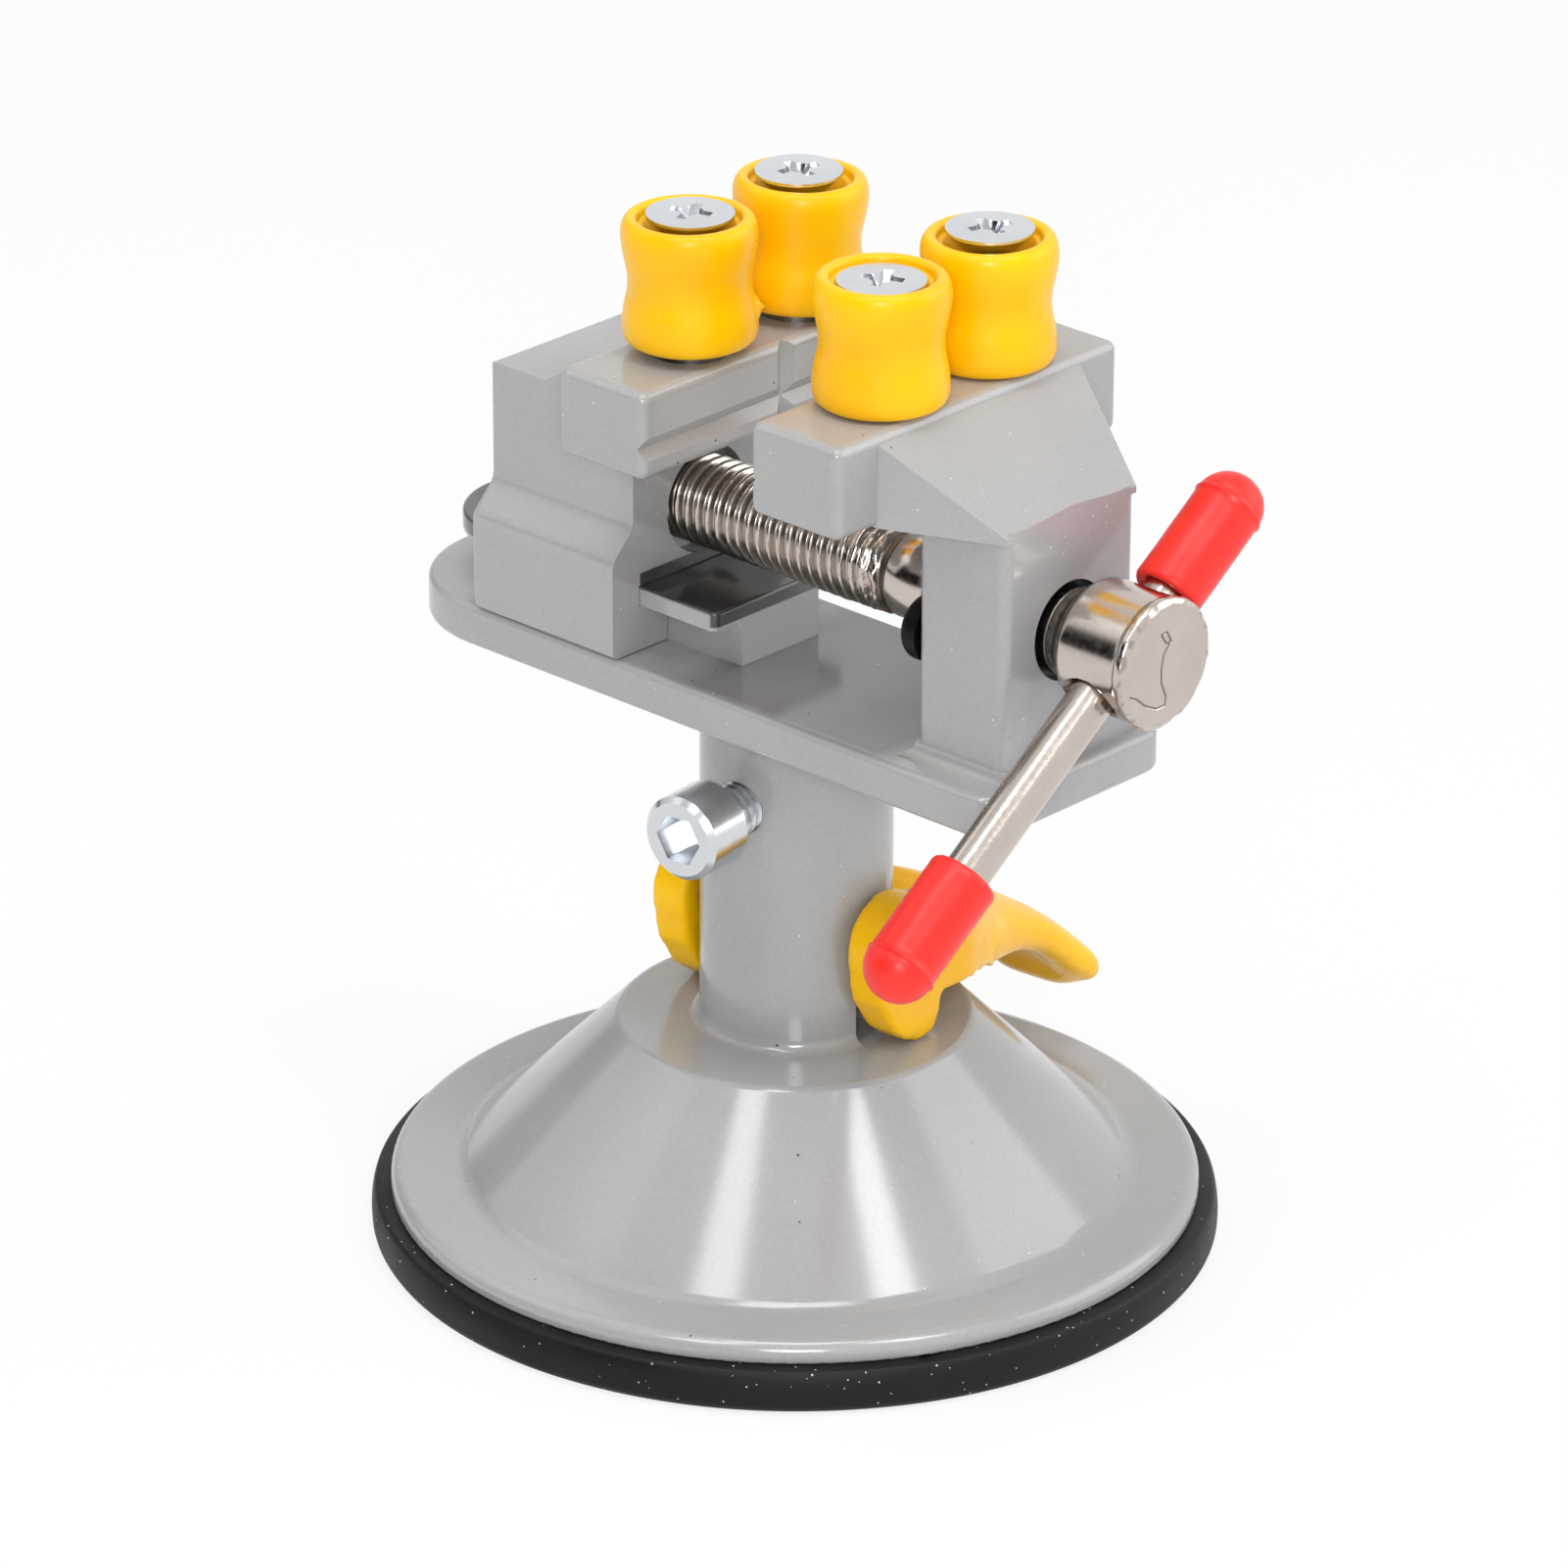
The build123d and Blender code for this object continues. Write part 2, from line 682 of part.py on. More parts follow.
def retaining_screw():
    head = disc(keeper_head_radius, -keeper_head_height, -face_gap)
    head = fillet(head.edges().filter_by(GeomType.CIRCLE).sort_by(Axis.Z)[0], 1.1)
    slot_half = keeper_slot_width / 2
    top = -keeper_head_height
    for quarter in (0, 90):
        head -= Rot(0, 0, quarter) * block((-2.0, -slot_half, top - 1), (2.0, slot_half, top + 1.2))
    return keeper_frame() * (head + disc(keeper_shank_radius, -1, keeper_shank_length))


def bar_frame():
    """The tommy bar's axis as Z, from the lead screw's axis towards its upper end."""
    angle = radians(bar_angle)
    origin = (bar_along_screw, 0, screw_height)
    return Plane(origin=origin, x_dir=(1, 0, 0), z_dir=(0, cos(angle), sin(angle)))


def tommy_bar():
    bar = disc(bar_radius, -bar_low_end, bar_high_end)
    return bar_frame() * chamfer(bar.edges().filter_by(GeomType.CIRCLE), 0.4)


def bar_cap(tip):
    """A soft cap on the bar, domed outwards, its tip at a distance along the bar."""
    side = 1 if tip > 0 else -1
    mouth = abs(tip) - cap_length
    dome_start = abs(tip) - cap_radius
    cap = disc(cap_radius, mouth, dome_start)
    cap += Pos(0, 0, dome_start) * Sphere(cap_radius)
    cap += disc(cap_radius + cap_flash, dome_start - 0.15, dome_start + 0.15)
    cap -= disc(bar_radius + cap_bore_gap, mouth - 1, abs(tip) - cap_end_wall + 0.02)
    flip = Rot(0, 0, 0) if side > 0 else Rot(180, 0, 0)
    return bar_frame() * flip * cap


# ---- pegs
def peg():
    top_inner = peg_dish_radius
    outline_points = [
        (peg_screw_radius + thread_gap, 0),
        (peg_radius - 0.9, 0),
        (peg_radius - 0.1, 2.2),
        (peg_waist_radius, peg_waist_height),
        (peg_radius, peg_height - 2.4),
        (peg_radius - 0.2, peg_height),
        (top_inner + 0.15, peg_height),
        (top_inner, peg_height - peg_dish_depth),
        (peg_screw_head_radius - peg_screw_head_edge + 0.35, peg_height - peg_dish_depth),
        (peg_screw_radius + thread_gap, peg_height - peg_dish_depth - 2.6),
    ]
    rounds = [0, 0.9, 3.5, 7.0, 3.0, peg_rim_round * 0.8, 0.4, 0.2, 0, 0]
    return turned(outline_points, rounds)


def peg_screw(turn, head_height):
    """Countersunk cross-head screw, its head's face at z = 0 and its tip down.

    head_height is the head's face over the jaw's top.
    """
    length = head_height + peg_screw_depth
    head_low = -(peg_screw_head_radius - peg_screw_radius) - peg_screw_head_edge
    screw = turned(
        [
            (0, -length),
            (peg_screw_radius - 0.6, -length),
            (peg_screw_radius, -length + 0.9),
            (peg_screw_radius, head_low),
            (peg_screw_head_radius, -peg_screw_head_edge),
            (peg_screw_head_radius, 0),
            (0, 0.25),
        ]
    )
    return Rot(0, 0, turn) * (screw - cross_recess())


def cross_recess():
    half = cross_width / 2
    recess = Pos(0, 0, -cross_depth) * Cone(0.6, 1.5, cross_depth + 0.5, align=upright)
    for quarter in (0, 90):
        arm = [(-cross_reach, 0.5), (cross_reach, 0.5), (0.9, -cross_depth), (-0.9, -cross_depth)]
        side_view = Plane(origin=(0, 0, 0), x_dir=(1, 0, 0), z_dir=(0, -1, 0))
        recess += Rot(0, 0, quarter) * prism(arm, side_view, -half, half)
    return recess


def washer():
    return disc(washer_radius, 0, washer_thickness) - disc(peg_screw_radius + thread_gap, -1, washer_thickness + 1)


def peg_sets():
    """Peg and screw at the four places on the jaws; the moving jaw's stand on washers."""
    made = {}
    for place, turn in cross_turn.items():
        on_moving = place.startswith("left")
        x = moving_peg_x if on_moving else fixed_peg_x
        y = -peg_half_spacing if place.endswith("front") else peg_half_spacing
        top = moving_jaw_top if on_moving else fixed_jaw_top
        seat = washer_thickness if on_moving else 0
        head_height = seat + peg_height - peg_dish_depth + head_over_dish[place]
        made["peg_" + place] = Pos(x, y, top + seat) * peg()
        made["peg_screw_" + place] = Pos(x, y, top + head_height) * peg_screw(turn, head_height)
        if on_moving:
            made["peg_washer_" + place] = Pos(x, y, top) * washer()
    return made


# ---- the whole vise
upper_tip = screw_head_radius + cap_seat_gap + cap_length
lower_tip = -(bar_low_end + cap_end_wall)

pieces = {
    "suction_cup": suction_cup(),
    "base_cover": base_cover(),
    "pull_rod": pull_rod(),
    "lever_pin": lever_pin(),
    "cam_lever": cam_lever(),
    "clamp_screw": clamp_screw(),
    "vise_bed": vise_bed(),
    "moving_jaw": moving_jaw(),
    "lead_screw": lead_screw(),
    "retaining_screw": retaining_screw(),
    "tommy_bar": tommy_bar(),
    "bar_cap_upper": bar_cap(upper_tip),
    "bar_cap_lower": bar_cap(lower_tip),
}
pieces.update(peg_sets())

for name, piece in pieces.items():
    export_step(piece, f"parts/{name}.step")
    print(name, round(piece.volume, 1), "mm3")
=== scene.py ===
# Suction base vise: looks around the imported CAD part. Lengths in metres, Z up, X along the lead screw.
import json
import math

import bmesh
import bpy
from mathutils import Matrix, Vector, noise


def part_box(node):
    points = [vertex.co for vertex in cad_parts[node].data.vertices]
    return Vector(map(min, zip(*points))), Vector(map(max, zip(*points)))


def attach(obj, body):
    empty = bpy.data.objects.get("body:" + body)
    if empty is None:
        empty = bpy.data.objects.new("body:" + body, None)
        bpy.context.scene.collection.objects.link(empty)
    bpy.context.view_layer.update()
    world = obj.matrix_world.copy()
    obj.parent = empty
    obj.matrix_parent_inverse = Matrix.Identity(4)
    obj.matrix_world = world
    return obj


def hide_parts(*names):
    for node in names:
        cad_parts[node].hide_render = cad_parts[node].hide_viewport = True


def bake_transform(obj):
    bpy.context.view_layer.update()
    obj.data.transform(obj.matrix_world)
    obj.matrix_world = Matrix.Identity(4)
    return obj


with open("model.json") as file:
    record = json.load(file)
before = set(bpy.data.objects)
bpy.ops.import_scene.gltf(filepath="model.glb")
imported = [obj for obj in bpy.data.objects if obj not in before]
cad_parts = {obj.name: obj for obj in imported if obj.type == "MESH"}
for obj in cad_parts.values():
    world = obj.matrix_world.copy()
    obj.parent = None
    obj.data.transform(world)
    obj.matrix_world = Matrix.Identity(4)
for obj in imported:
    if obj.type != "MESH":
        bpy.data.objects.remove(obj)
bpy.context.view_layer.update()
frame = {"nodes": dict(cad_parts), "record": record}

nodes = frame["nodes"]
mm = 0.001


def linear(hexColour):
    parts = [int(hexColour[i:i + 2], 16) / 255 for i in (1, 3, 5)]
    return [p / 12.92 if p <= 0.04045 else ((p + 0.055) / 1.055) ** 2.4 for p in parts] + [1.0]


def addNode(tree, kind, sockets=None, **settings):
    # a node with its settings: given a socket, or a node for its first output, an input is linked; given a value, it is set
    made = tree.nodes.new(kind)
    for name, value in settings.items():
        setattr(made, name, value)
    for name, value in (sockets or {}).items():
        if isinstance(value, bpy.types.Node):
            value = value.outputs[0]
        if isinstance(value, bpy.types.NodeSocket):
            tree.links.new(value, made.inputs[name])
        else:
            made.inputs[name].default_value = value
    return made


def newMaterial(name):
    material = bpy.data.materials.new(name)
    material.use_nodes = True
    material.node_tree.nodes.clear()
    place = addNode(material.node_tree, "ShaderNodeTexCoord").outputs["Object"]
    return material, material.node_tree, place


# Patterns. A noise of scale lump / size has lumps of about that size, and most of its values lie in the usual range
lump = 0.5
usual = {1: 0.3, 2: 0.7}


def clouded(tree, place, size, detail, first, second):
    # soft clouds between two close hues, and the noise behind them
    cloud = addNode(tree, "ShaderNodeTexNoise", {"Vector": place, "Scale": lump / size, "Detail": detail})
    share = addNode(tree, "ShaderNodeMapRange", {0: cloud, **usual, 3: 0.0, 4: 1.0})
    hues = addNode(tree, "ShaderNodeMix", {0: share, 6: linear(first), 7: linear(second)}, data_type="RGBA")
    return cloud, hues.outputs[2]


def boxed(tree, value, low, high, soft):
    # one between low and high, fading over soft outside them
    rise = addNode(tree, "ShaderNodeMapRange", {0: value, 1: low - soft, 2: low, 3: 0.0, 4: 1.0})
    fall = addNode(tree, "ShaderNodeMapRange", {0: value, 1: high, 2: high + soft, 3: 1.0, 4: 0.0})
    return addNode(tree, "ShaderNodeMath", {0: rise, 1: fall}, operation="MULTIPLY")


def darkenedIn(tree, place, box, broken):
    # how much of a dark patch lies on a place inside the box (low, high, fade in mm per axis), broken up by a soft
    # noise; the patches are painted shade, on the rail with some grease
    at = addNode(tree, "ShaderNodeSeparateXYZ", {0: place})
    darkShare = broken
    for axis, (low, high, soft) in enumerate(box):
        inside = boxed(tree, at.outputs[axis], low * mm, high * mm, soft * mm)
        darkShare = addNode(tree, "ShaderNodeMath", {0: darkShare, 1: inside}, operation="MULTIPLY")
    return darkShare


def speckled(tree, place, colour, hue, cell, size, chance):
    # scattered specks: one per cell at most, round, up to size wide, on a share of the cells
    cells = addNode(tree, "ShaderNodeTexVoronoi", {"Vector": place, "Scale": 1 / cell})
    lot = addNode(tree, "ShaderNodeSeparateColor", {0: cells.outputs["Color"]})
    rest = addNode(tree, "ShaderNodeMath", {0: 1.0, 1: chance}, operation="SUBTRACT")
    reach = addNode(tree, "ShaderNodeMapRange", {0: lot, 1: rest, 2: 1.0, 3: 0.0, 4: 0.5 * size / cell})
    inside = addNode(tree, "ShaderNodeMath", {0: cells.outputs["Distance"], 1: reach}, operation="LESS_THAN")
    return addNode(tree, "ShaderNodeMix", {0: inside, 6: colour, 7: linear(hue)}, data_type="RGBA").outputs[2]


def finishMaterial(material, tree, colour, roughness, height, bumpStrength, bumpDepth, **fixed):
    bump = addNode(tree, "ShaderNodeBump", {"Height": height, "Strength": bumpStrength, "Distance": bumpDepth})
    sockets = {"Base Color": colour, "Roughness": roughness, "Normal": bump}
    sockets.update({name.replace("_", " "): value for name, value in fixed.items()})
    shader = addNode(tree, "ShaderNodeBsdfPrincipled", sockets)
    addNode(tree, "ShaderNodeOutputMaterial", {"Surface": shader})
    return material


# Glossy enamel sprayed on a zinc die casting: soft-edged highlights, faint orange peel, dust, pits, grease with painted
# shade on the rail, and painted shade in the bore and on the bed.
# Real paint grain, dust and pits are about 0.1 mm wide; they are drawn two to three times as coarse, or they wouldn't show.
enamel = dict(colour="#A6A6A6", shade="#A3A3A3", cloud=7 * mm, gloss=0.15, grain=0.25 * mm, grainShare=0.03,
              peel=1.1 * mm, peelBump=0.06, peelDepth=0.05 * mm, darkBreakup=(0.75, 1.0),
              dust="#E6E6E6", dustCell=1.5 * mm, dustSize=0.22 * mm, dustPatch=9 * mm, dustNoise=(0.45, 0.65),
              dustShare=(0.02, 0.8),
              pit="#3A3A3A", pitCell=1.9 * mm, pitSize=0.32 * mm, pitShare=(0.12, 0.95),
              # rail: painted shade under the jaws, with some grease
              rail=dict(hue="#2B2A29", box=[(-52, -2, 0.3), (-10.3, 10.3, 0.1), (73.4, 76.5, 0.2)]),
              # bore: painted shade inside the hole in the column
              bore=dict(hue="#0E0D0C", box=[(30, 38.6, 0.05), (-5.7, 5.7, 0.2), (76.6, 88.0, 0.2)]),
              # bed: painted shadow of the jaws on the plate's top
              bed=dict(hue="#757371", box=[(-3, 23, 4.0), (-12.5, 15, 2.0), (67.2, 67.6, 0.2)]))


def enamelOnCasting():
    e = enamel
    material, tree, place = newMaterial("enamel_on_die_casting")
    cloud, colour = clouded(tree, place, e["cloud"], 2.0, e["shade"], e["colour"])
    grain = addNode(tree, "ShaderNodeTexNoise", {"Vector": place, "Scale": lump / e["grain"], "Detail": 2.0})
    light = addNode(tree, "ShaderNodeMapRange", {0: grain, **usual, 3: 1 - e["grainShare"], 4: 1 + e["grainShare"]})
    colour = addNode(tree, "ShaderNodeMix", {0: 1.0, 6: colour, 7: light}, data_type="RGBA", blend_type="MULTIPLY").outputs[2]
    broken = addNode(tree, "ShaderNodeMapRange", {0: cloud, **usual, 3: e["darkBreakup"][0], 4: e["darkBreakup"][1]})
    # the dark patches: painted shade, on the rail with some grease
    for patch in (e["rail"], e["bore"], e["bed"]):
        darkShare = darkenedIn(tree, place, patch["box"], broken)
        colour = addNode(tree, "ShaderNodeMix", {0: darkShare, 6: colour, 7: linear(patch["hue"])}, data_type="RGBA").outputs[2]
    drift = addNode(tree, "ShaderNodeTexNoise", {"Vector": place, "Scale": lump / e["dustPatch"], "Detail": 1.0})
    dusty = addNode(tree, "ShaderNodeMapRange", {0: drift, 1: e["dustNoise"][0], 2: e["dustNoise"][1],
                                                 3: e["dustShare"][0], 4: e["dustShare"][1]})
    colour = speckled(tree, place, colour, e["dust"], e["dustCell"], e["dustSize"], dusty)
    # pits: few on the whole casting, many on the bed, whose painted shadow is the last patch
    pitted = addNode(tree, "ShaderNodeMapRange", {0: darkShare, 1: 0.0, 2: 1.0, 3: e["pitShare"][0], 4: e["pitShare"][1]})
    colour = speckled(tree, place, colour, e["pit"], e["pitCell"], e["pitSize"], pitted)
    peel = addNode(tree, "ShaderNodeTexNoise", {"Vector": place, "Scale": lump / e["peel"], "Detail": 1.0})
    return finishMaterial(material, tree, colour, e["gloss"], peel, e["peelBump"], e["peelDepth"], IOR=1.62)


# Acetal-like plastic, moulded in one colour: semi-gloss, and orange where its own yellow light falls back on it.
# The mould's texture is about 0.1 mm; it is drawn at 0.5 mm so that the highlights break up.
yellow = dict(colour="#FFC800", deep="#FFBB00", cloud=5 * mm, grain=0.5 * mm, gloss=(0.26, 0.35), bump=0.04, depth=0.03 * mm)


def mouldedYellow():
    y = yellow
    material, tree, place = newMaterial("moulded_yellow_plastic")
    _, colour = clouded(tree, place, y["cloud"], 2.0, y["deep"], y["colour"])
    fine = addNode(tree, "ShaderNodeTexNoise", {"Vector": place, "Scale": lump / y["grain"], "Detail": 2.0})
    rough = addNode(tree, "ShaderNodeMapRange", {0: fine, **usual, 3: y["gloss"][0], 4: y["gloss"][1]})
    return finishMaterial(material, tree, colour, rough, fine, y["bump"], y["depth"], IOR=1.48, Specular_IOR_Level=0.3)


# Soft vinyl cap, dipped: warm red, slightly translucent, picks up dust.
# Its dust and its skin's texture are drawn about twice as coarse as real.
vinyl = dict(colour="#F22E26", deep="#E92822", cloud=4 * mm, dust="#F0A094", dustCell=1.6 * mm, dustSize=0.2 * mm,
             dustShare=0.3, grain=0.7 * mm, gloss=(0.31, 0.44), bump=0.1, depth=0.07 * mm,
             glow=0.2, glowReach=1.0 * mm, glowColour=(1.0, 0.25, 0.15))


def softVinyl():
    v = vinyl
    material, tree, place = newMaterial("soft_red_vinyl")
    _, colour = clouded(tree, place, v["cloud"], 2.0, v["deep"], v["colour"])
    colour = speckled(tree, place, colour, v["dust"], v["dustCell"], v["dustSize"], v["dustShare"])
    fine = addNode(tree, "ShaderNodeTexNoise", {"Vector": place, "Scale": lump / v["grain"], "Detail": 2.0})
    rough = addNode(tree, "ShaderNodeMapRange", {0: fine, **usual, 3: v["gloss"][0], 4: v["gloss"][1]})
    return finishMaterial(material, tree, colour, rough, fine, v["bump"], v["depth"], IOR=1.5, Specular_IOR_Level=0.4,
                          Subsurface_Weight=v["glow"], Subsurface_Radius=v["glowColour"], Subsurface_Scale=v["glowReach"])


# Moulded black rubber: matt, faintly pebbled, with white dust caught in it.
# Pebble and dust are drawn two or three times as coarse as real.
rubber = dict(colour="#0A0A0A", bloom="#101010", cloud=6 * mm, dust="#CFCFCF", dustCell=1.0 * mm, dustSize=0.25 * mm,
              dustShare=0.8, pebble=0.5 * mm, gloss=(0.44, 0.6), bump=0.15, depth=0.06 * mm)


def mouldedRubber():
    r = rubber
    material, tree, place = newMaterial("moulded_black_rubber")
    cloud, colour = clouded(tree, place, r["cloud"], 3.0, r["colour"], r["bloom"])
    colour = speckled(tree, place, colour, r["dust"], r["dustCell"], r["dustSize"], r["dustShare"])
    pebble = addNode(tree, "ShaderNodeTexNoise", {"Vector": place, "Scale": lump / r["pebble"], "Detail": 2.0})
    rough = addNode(tree, "ShaderNodeMapRange", {0: cloud, **usual, 3: r["gloss"][0], 4: r["gloss"][1]})
    return finishMaterial(material, tree, colour, rough, pebble, r["bump"], r["depth"], IOR=1.52, Specular_IOR_Level=0.25)


# Metals. Grain is what the polish or the plating leaves, a few hundredths of a millimetre; it is drawn ten times as coarse.
# Nickel plate: warm mirror, a little scuffed. Zinc plate: bluish and bright, with painted shade on the washers under
# the pegs.
# Turned steel: dull grey with a broad highlight. Black oxide: dark, satin.
metals = {
    "nickel_plate": dict(name="nickel_plated_steel", colour="#CCC2BA", cloud="#C4B9B0", gloss=(0.14, 0.22), grain=0.3 * mm,
                         bump=0.03),
    "zinc_plate": dict(name="bright_zinc_plated_steel", colour="#D8DBDE", cloud="#D0D3D7", gloss=(0.17, 0.25), grain=0.35 * mm,
                       # the box below gives painted shade on the washers under the pegs
                       bump=0.03, washerShadeBox=[(-17, 1, 0.1), (-15, 15, 0.1), (103.5, 104.5, 0.05)]),
    "plain_steel": dict(name="turned_steel", colour="#B9B6B1", cloud="#A5A29E", gloss=(0.33, 0.41), grain=0.3 * mm, bump=0.15),
    "black_oxide": dict(name="black_oxide_steel", colour="#2A2A2B", cloud="#1C1C1D", gloss=(0.35, 0.43), grain=0.3 * mm,
                        bump=0.15),
}
# the dark colour mixed in where the pieces are darkened: mostly painted shade in roots, corners, necks and holes, and
# the dark scar on the head's end
shadeAndGrime = dict(hue="#35291F", share=(0.6, 0.95), duller=0.3)


def platedMetal(finish):
    material, tree, place = newMaterial(finish["name"])
    cloud, colour = clouded(tree, place, 2.5 * mm, 3.0, finish["cloud"], finish["colour"])
    # the pieces carry painted shade in their roots, corners, neck and hole, and a dark scar; a box gives painted shade
    # on the washers
    shadeAndDirt = addNode(tree, "ShaderNodeAttribute", attribute_name="shadeAndDirt").outputs["Fac"]
    if "washerShadeBox" in finish:
        broken = addNode(tree, "ShaderNodeMapRange", {0: cloud, **usual, 3: shadeAndGrime["share"][0], 4: shadeAndGrime["share"][1]})
        darkShare = darkenedIn(tree, place, finish["washerShadeBox"], broken)
        shadeAndDirt = addNode(tree, "ShaderNodeMath", {0: shadeAndDirt, 1: darkShare}, operation="MAXIMUM")
    colour = addNode(tree, "ShaderNodeMix", {0: shadeAndDirt, 6: colour, 7: linear(shadeAndGrime["hue"])}, data_type="RGBA").outputs[2]
    fine = addNode(tree, "ShaderNodeTexNoise", {"Vector": place, "Scale": lump / finish["grain"], "Detail": 3.0})
    worn = addNode(tree, "ShaderNodeMapRange", {0: fine, **usual, 3: finish["gloss"][0], 4: finish["gloss"][1]})
    roughness = addNode(tree, "ShaderNodeMath", {0: shadeAndDirt, 1: shadeAndGrime["duller"], 2: worn}, operation="MULTIPLY_ADD")
    return finishMaterial(material, tree, colour, roughness, fine, finish["bump"], 0.05 * mm, Metallic=1.0)


finishes = {"grey_paint": enamelOnCasting(), "black_rubber": mouldedRubber(),
            "yellow_plastic": mouldedYellow(), "red_vinyl": softVinyl()}
finishes.update({slot: platedMetal(finish) for slot, finish in metals.items()})
for subpart in frame["record"]["subparts"]:
    for slot in nodes[subpart["node"]].material_slots:
        slot.material = finishes[subpart["material_slot"]]
slotOf = {subpart["node"]: subpart["material_slot"] for subpart in frame["record"]["subparts"]}
bodyOf = {node: body for body, members in frame["record"]["behaviour"]["bodies"].items() for node in members}
print("materials on", len(nodes), "CAD nodes")


def smoothStep(low, high, value):
    t = min(max((value - low) / (high - low), 0.0), 1.0)
    return t * t * (3 - 2 * t)


def ringMesh(name, rings, closeEnds=True):
    # a skin over rings of points, all with the same count; the first and last ring close on their middles
    count = len(rings[0])
    points = [point for ring in rings for point in ring]
    faces = []
    for row in range(len(rings) - 1):
        for step in range(count):
            a, b = row * count + step, row * count + (step + 1) % count
            faces.append((a, b, b + count, a + count))
    if closeEnds:
        for row, turn in ((0, -1), (len(rings) - 1, 1)):
            middle = sum((Vector(point) for point in rings[row]), Vector()) / count
            points.append(tuple(middle))
            ends = [row * count + step for step in range(count)]
            faces += [(ends[step], ends[(step + 1) % count], len(points) - 1)[::turn] for step in range(count)]
    mesh = bpy.data.meshes.new(name)
    mesh.from_pydata(points, [], faces)
    mesh.validate()
    fix = bmesh.new()
    fix.from_mesh(mesh)
    bmesh.ops.recalc_face_normals(fix, faces=fix.faces)
    fix.to_mesh(mesh)
    fix.free()
    mesh.polygons.foreach_set("use_smooth", [True] * len(mesh.polygons))
    piece = bpy.data.objects.new(name, mesh)
    bpy.context.scene.collection.objects.link(piece)
    return piece


def roundedOutline(corners, perCorner=6):
    # (radius, height, rounding) corners become a line whose corners are eased over their rounding
    line = []
    for index, (radius, height, ease) in enumerate(corners):
        here = Vector((radius, height))
        if ease <= 0 or index in (0, len(corners) - 1):
            line.append(here)
            continue
        before = Vector(corners[index - 1][:2]) - here
        after = Vector(corners[index + 1][:2]) - here
        start = here + before.normalized() * min(ease, before.length * 0.48)
        end = here + after.normalized() * min(ease, after.length * 0.48)
        for step in range(perCorner + 1):
            t = step / perCorner
            line.append(start * (1 - t) ** 2 + here * 2 * t * (1 - t) + end * t ** 2)
    return line


def dense(line, step):
    # the same line with its points about step apart
    points = []
    for here, after in zip(line, line[1:]):
        parts = max(1, round((after - here).length / step))
        points += [here.lerp(after, part / parts) for part in range(parts)]
    return points + [line[-1]]


def latheRings(line, count, frameOf, change=None):
    # line of (radius, height) in mm turned about the frame's Z; change moves a point by its angle
    rings = []
    for radius, height in line:
        ring = []
        for step in range(count):
            angle = 2 * math.pi * step / count
            r, h = change(radius, height, angle) if change else (radius, height)
            ring.append(frameOf @ Vector((r * math.cos(angle) * mm, r * math.sin(angle) * mm, h * mm)))
        rings.append(ring)
    return rings


def stand(piece, node):
    # the piece takes the node's place: its body, its finish and its look
    piece.data.materials.clear()
    piece.data.materials.append(finishes[slotOf[node]])
    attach(piece, bodyOf[node])
    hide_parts(node)
    print("piece", piece.name, len(piece.data.vertices), "points")
    return piece


def axisFrame(origin, xAxis, zAxis):
    z = Vector(zAxis).normalized()
    x = Vector(xAxis).normalized()
    turned = Matrix((x, z.cross(x), z)).transposed().to_4x4()
    return Matrix.Translation(Vector(origin) * mm) @ turned


# Pegs: moulded spools with a fat rim, a waist and a rounded foot
peg = dict(height=13.95,
           outline=[(2.62, 0.0, 0), (6.2, 0.0, 1.0), (7.28, 0.7, 1.3), (7.2, 3.4, 2.2), (6.42, 6.7, 3.4), (7.18, 10.3, 2.2),
                    (7.38, 12.4, 1.6), (6.9, 13.95, 1.0), (5.65, 13.95, 0.5), (5.45, 12.95, 0.3), (5.02, 12.95, 0.2),
                    (2.62, 10.4, 0)],
           lean={"left_front": (0.5, 200), "left_back": (1.6, 95), "right_front": (0.4, 90), "right_back": (0.6, 300)},
           burr=dict(place="left_front", azimuth=43, height=3.9, reach=0.95))


def pegPiece(name):
    node = "peg_" + name
    low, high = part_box(node)
    middle = (low + high) / 2
    foot = Vector((middle.x, middle.y, low.z)) / mm
    tall = (high.z - low.z) / mm / peg["height"]
    lean, towards = peg["lean"][name]
    seed = Vector((foot.x, foot.y, 0)) * 0.37
    stem = Vector((math.sin(math.radians(lean)) * math.cos(math.radians(towards)),
                   math.sin(math.radians(lean)) * math.sin(math.radians(towards)), math.cos(math.radians(lean))))
    standing = axisFrame(foot, Vector((1, 0, 0)) - stem * stem.x, stem)

    def moulded(radius, height, angle):
        out = Vector((math.cos(angle), math.sin(angle), height * 0.12))
        ripple = noise.noise(out * 1.3 + seed) * 0.06
        seam = 0.05 * math.exp(-((math.degrees(angle) % 180 - 40) / 2.0) ** 2)
        grown = radius + (ripple + seam if radius > 5.8 else 0)
        burr = peg["burr"]
        if name == burr["place"] and radius > 6:
            apart = (math.degrees(angle) - burr["azimuth"] + 180) % 360 - 180
            lump = math.exp(-(apart / 5.0) ** 2 - ((height - burr["height"]) / 0.9) ** 2)
            grown += burr["reach"] * lump * (0.7 + 0.6 * noise.noise(Vector((angle * 9, height * 2.2, 3.1))))
        return grown, height * tall

    line = dense(roundedOutline(peg["outline"], 8), 0.45)
    piece = ringMesh("spool_" + name, latheRings(line + [line[0]], 128, standing, moulded), closeEnds=False)
    return stand(piece, node)


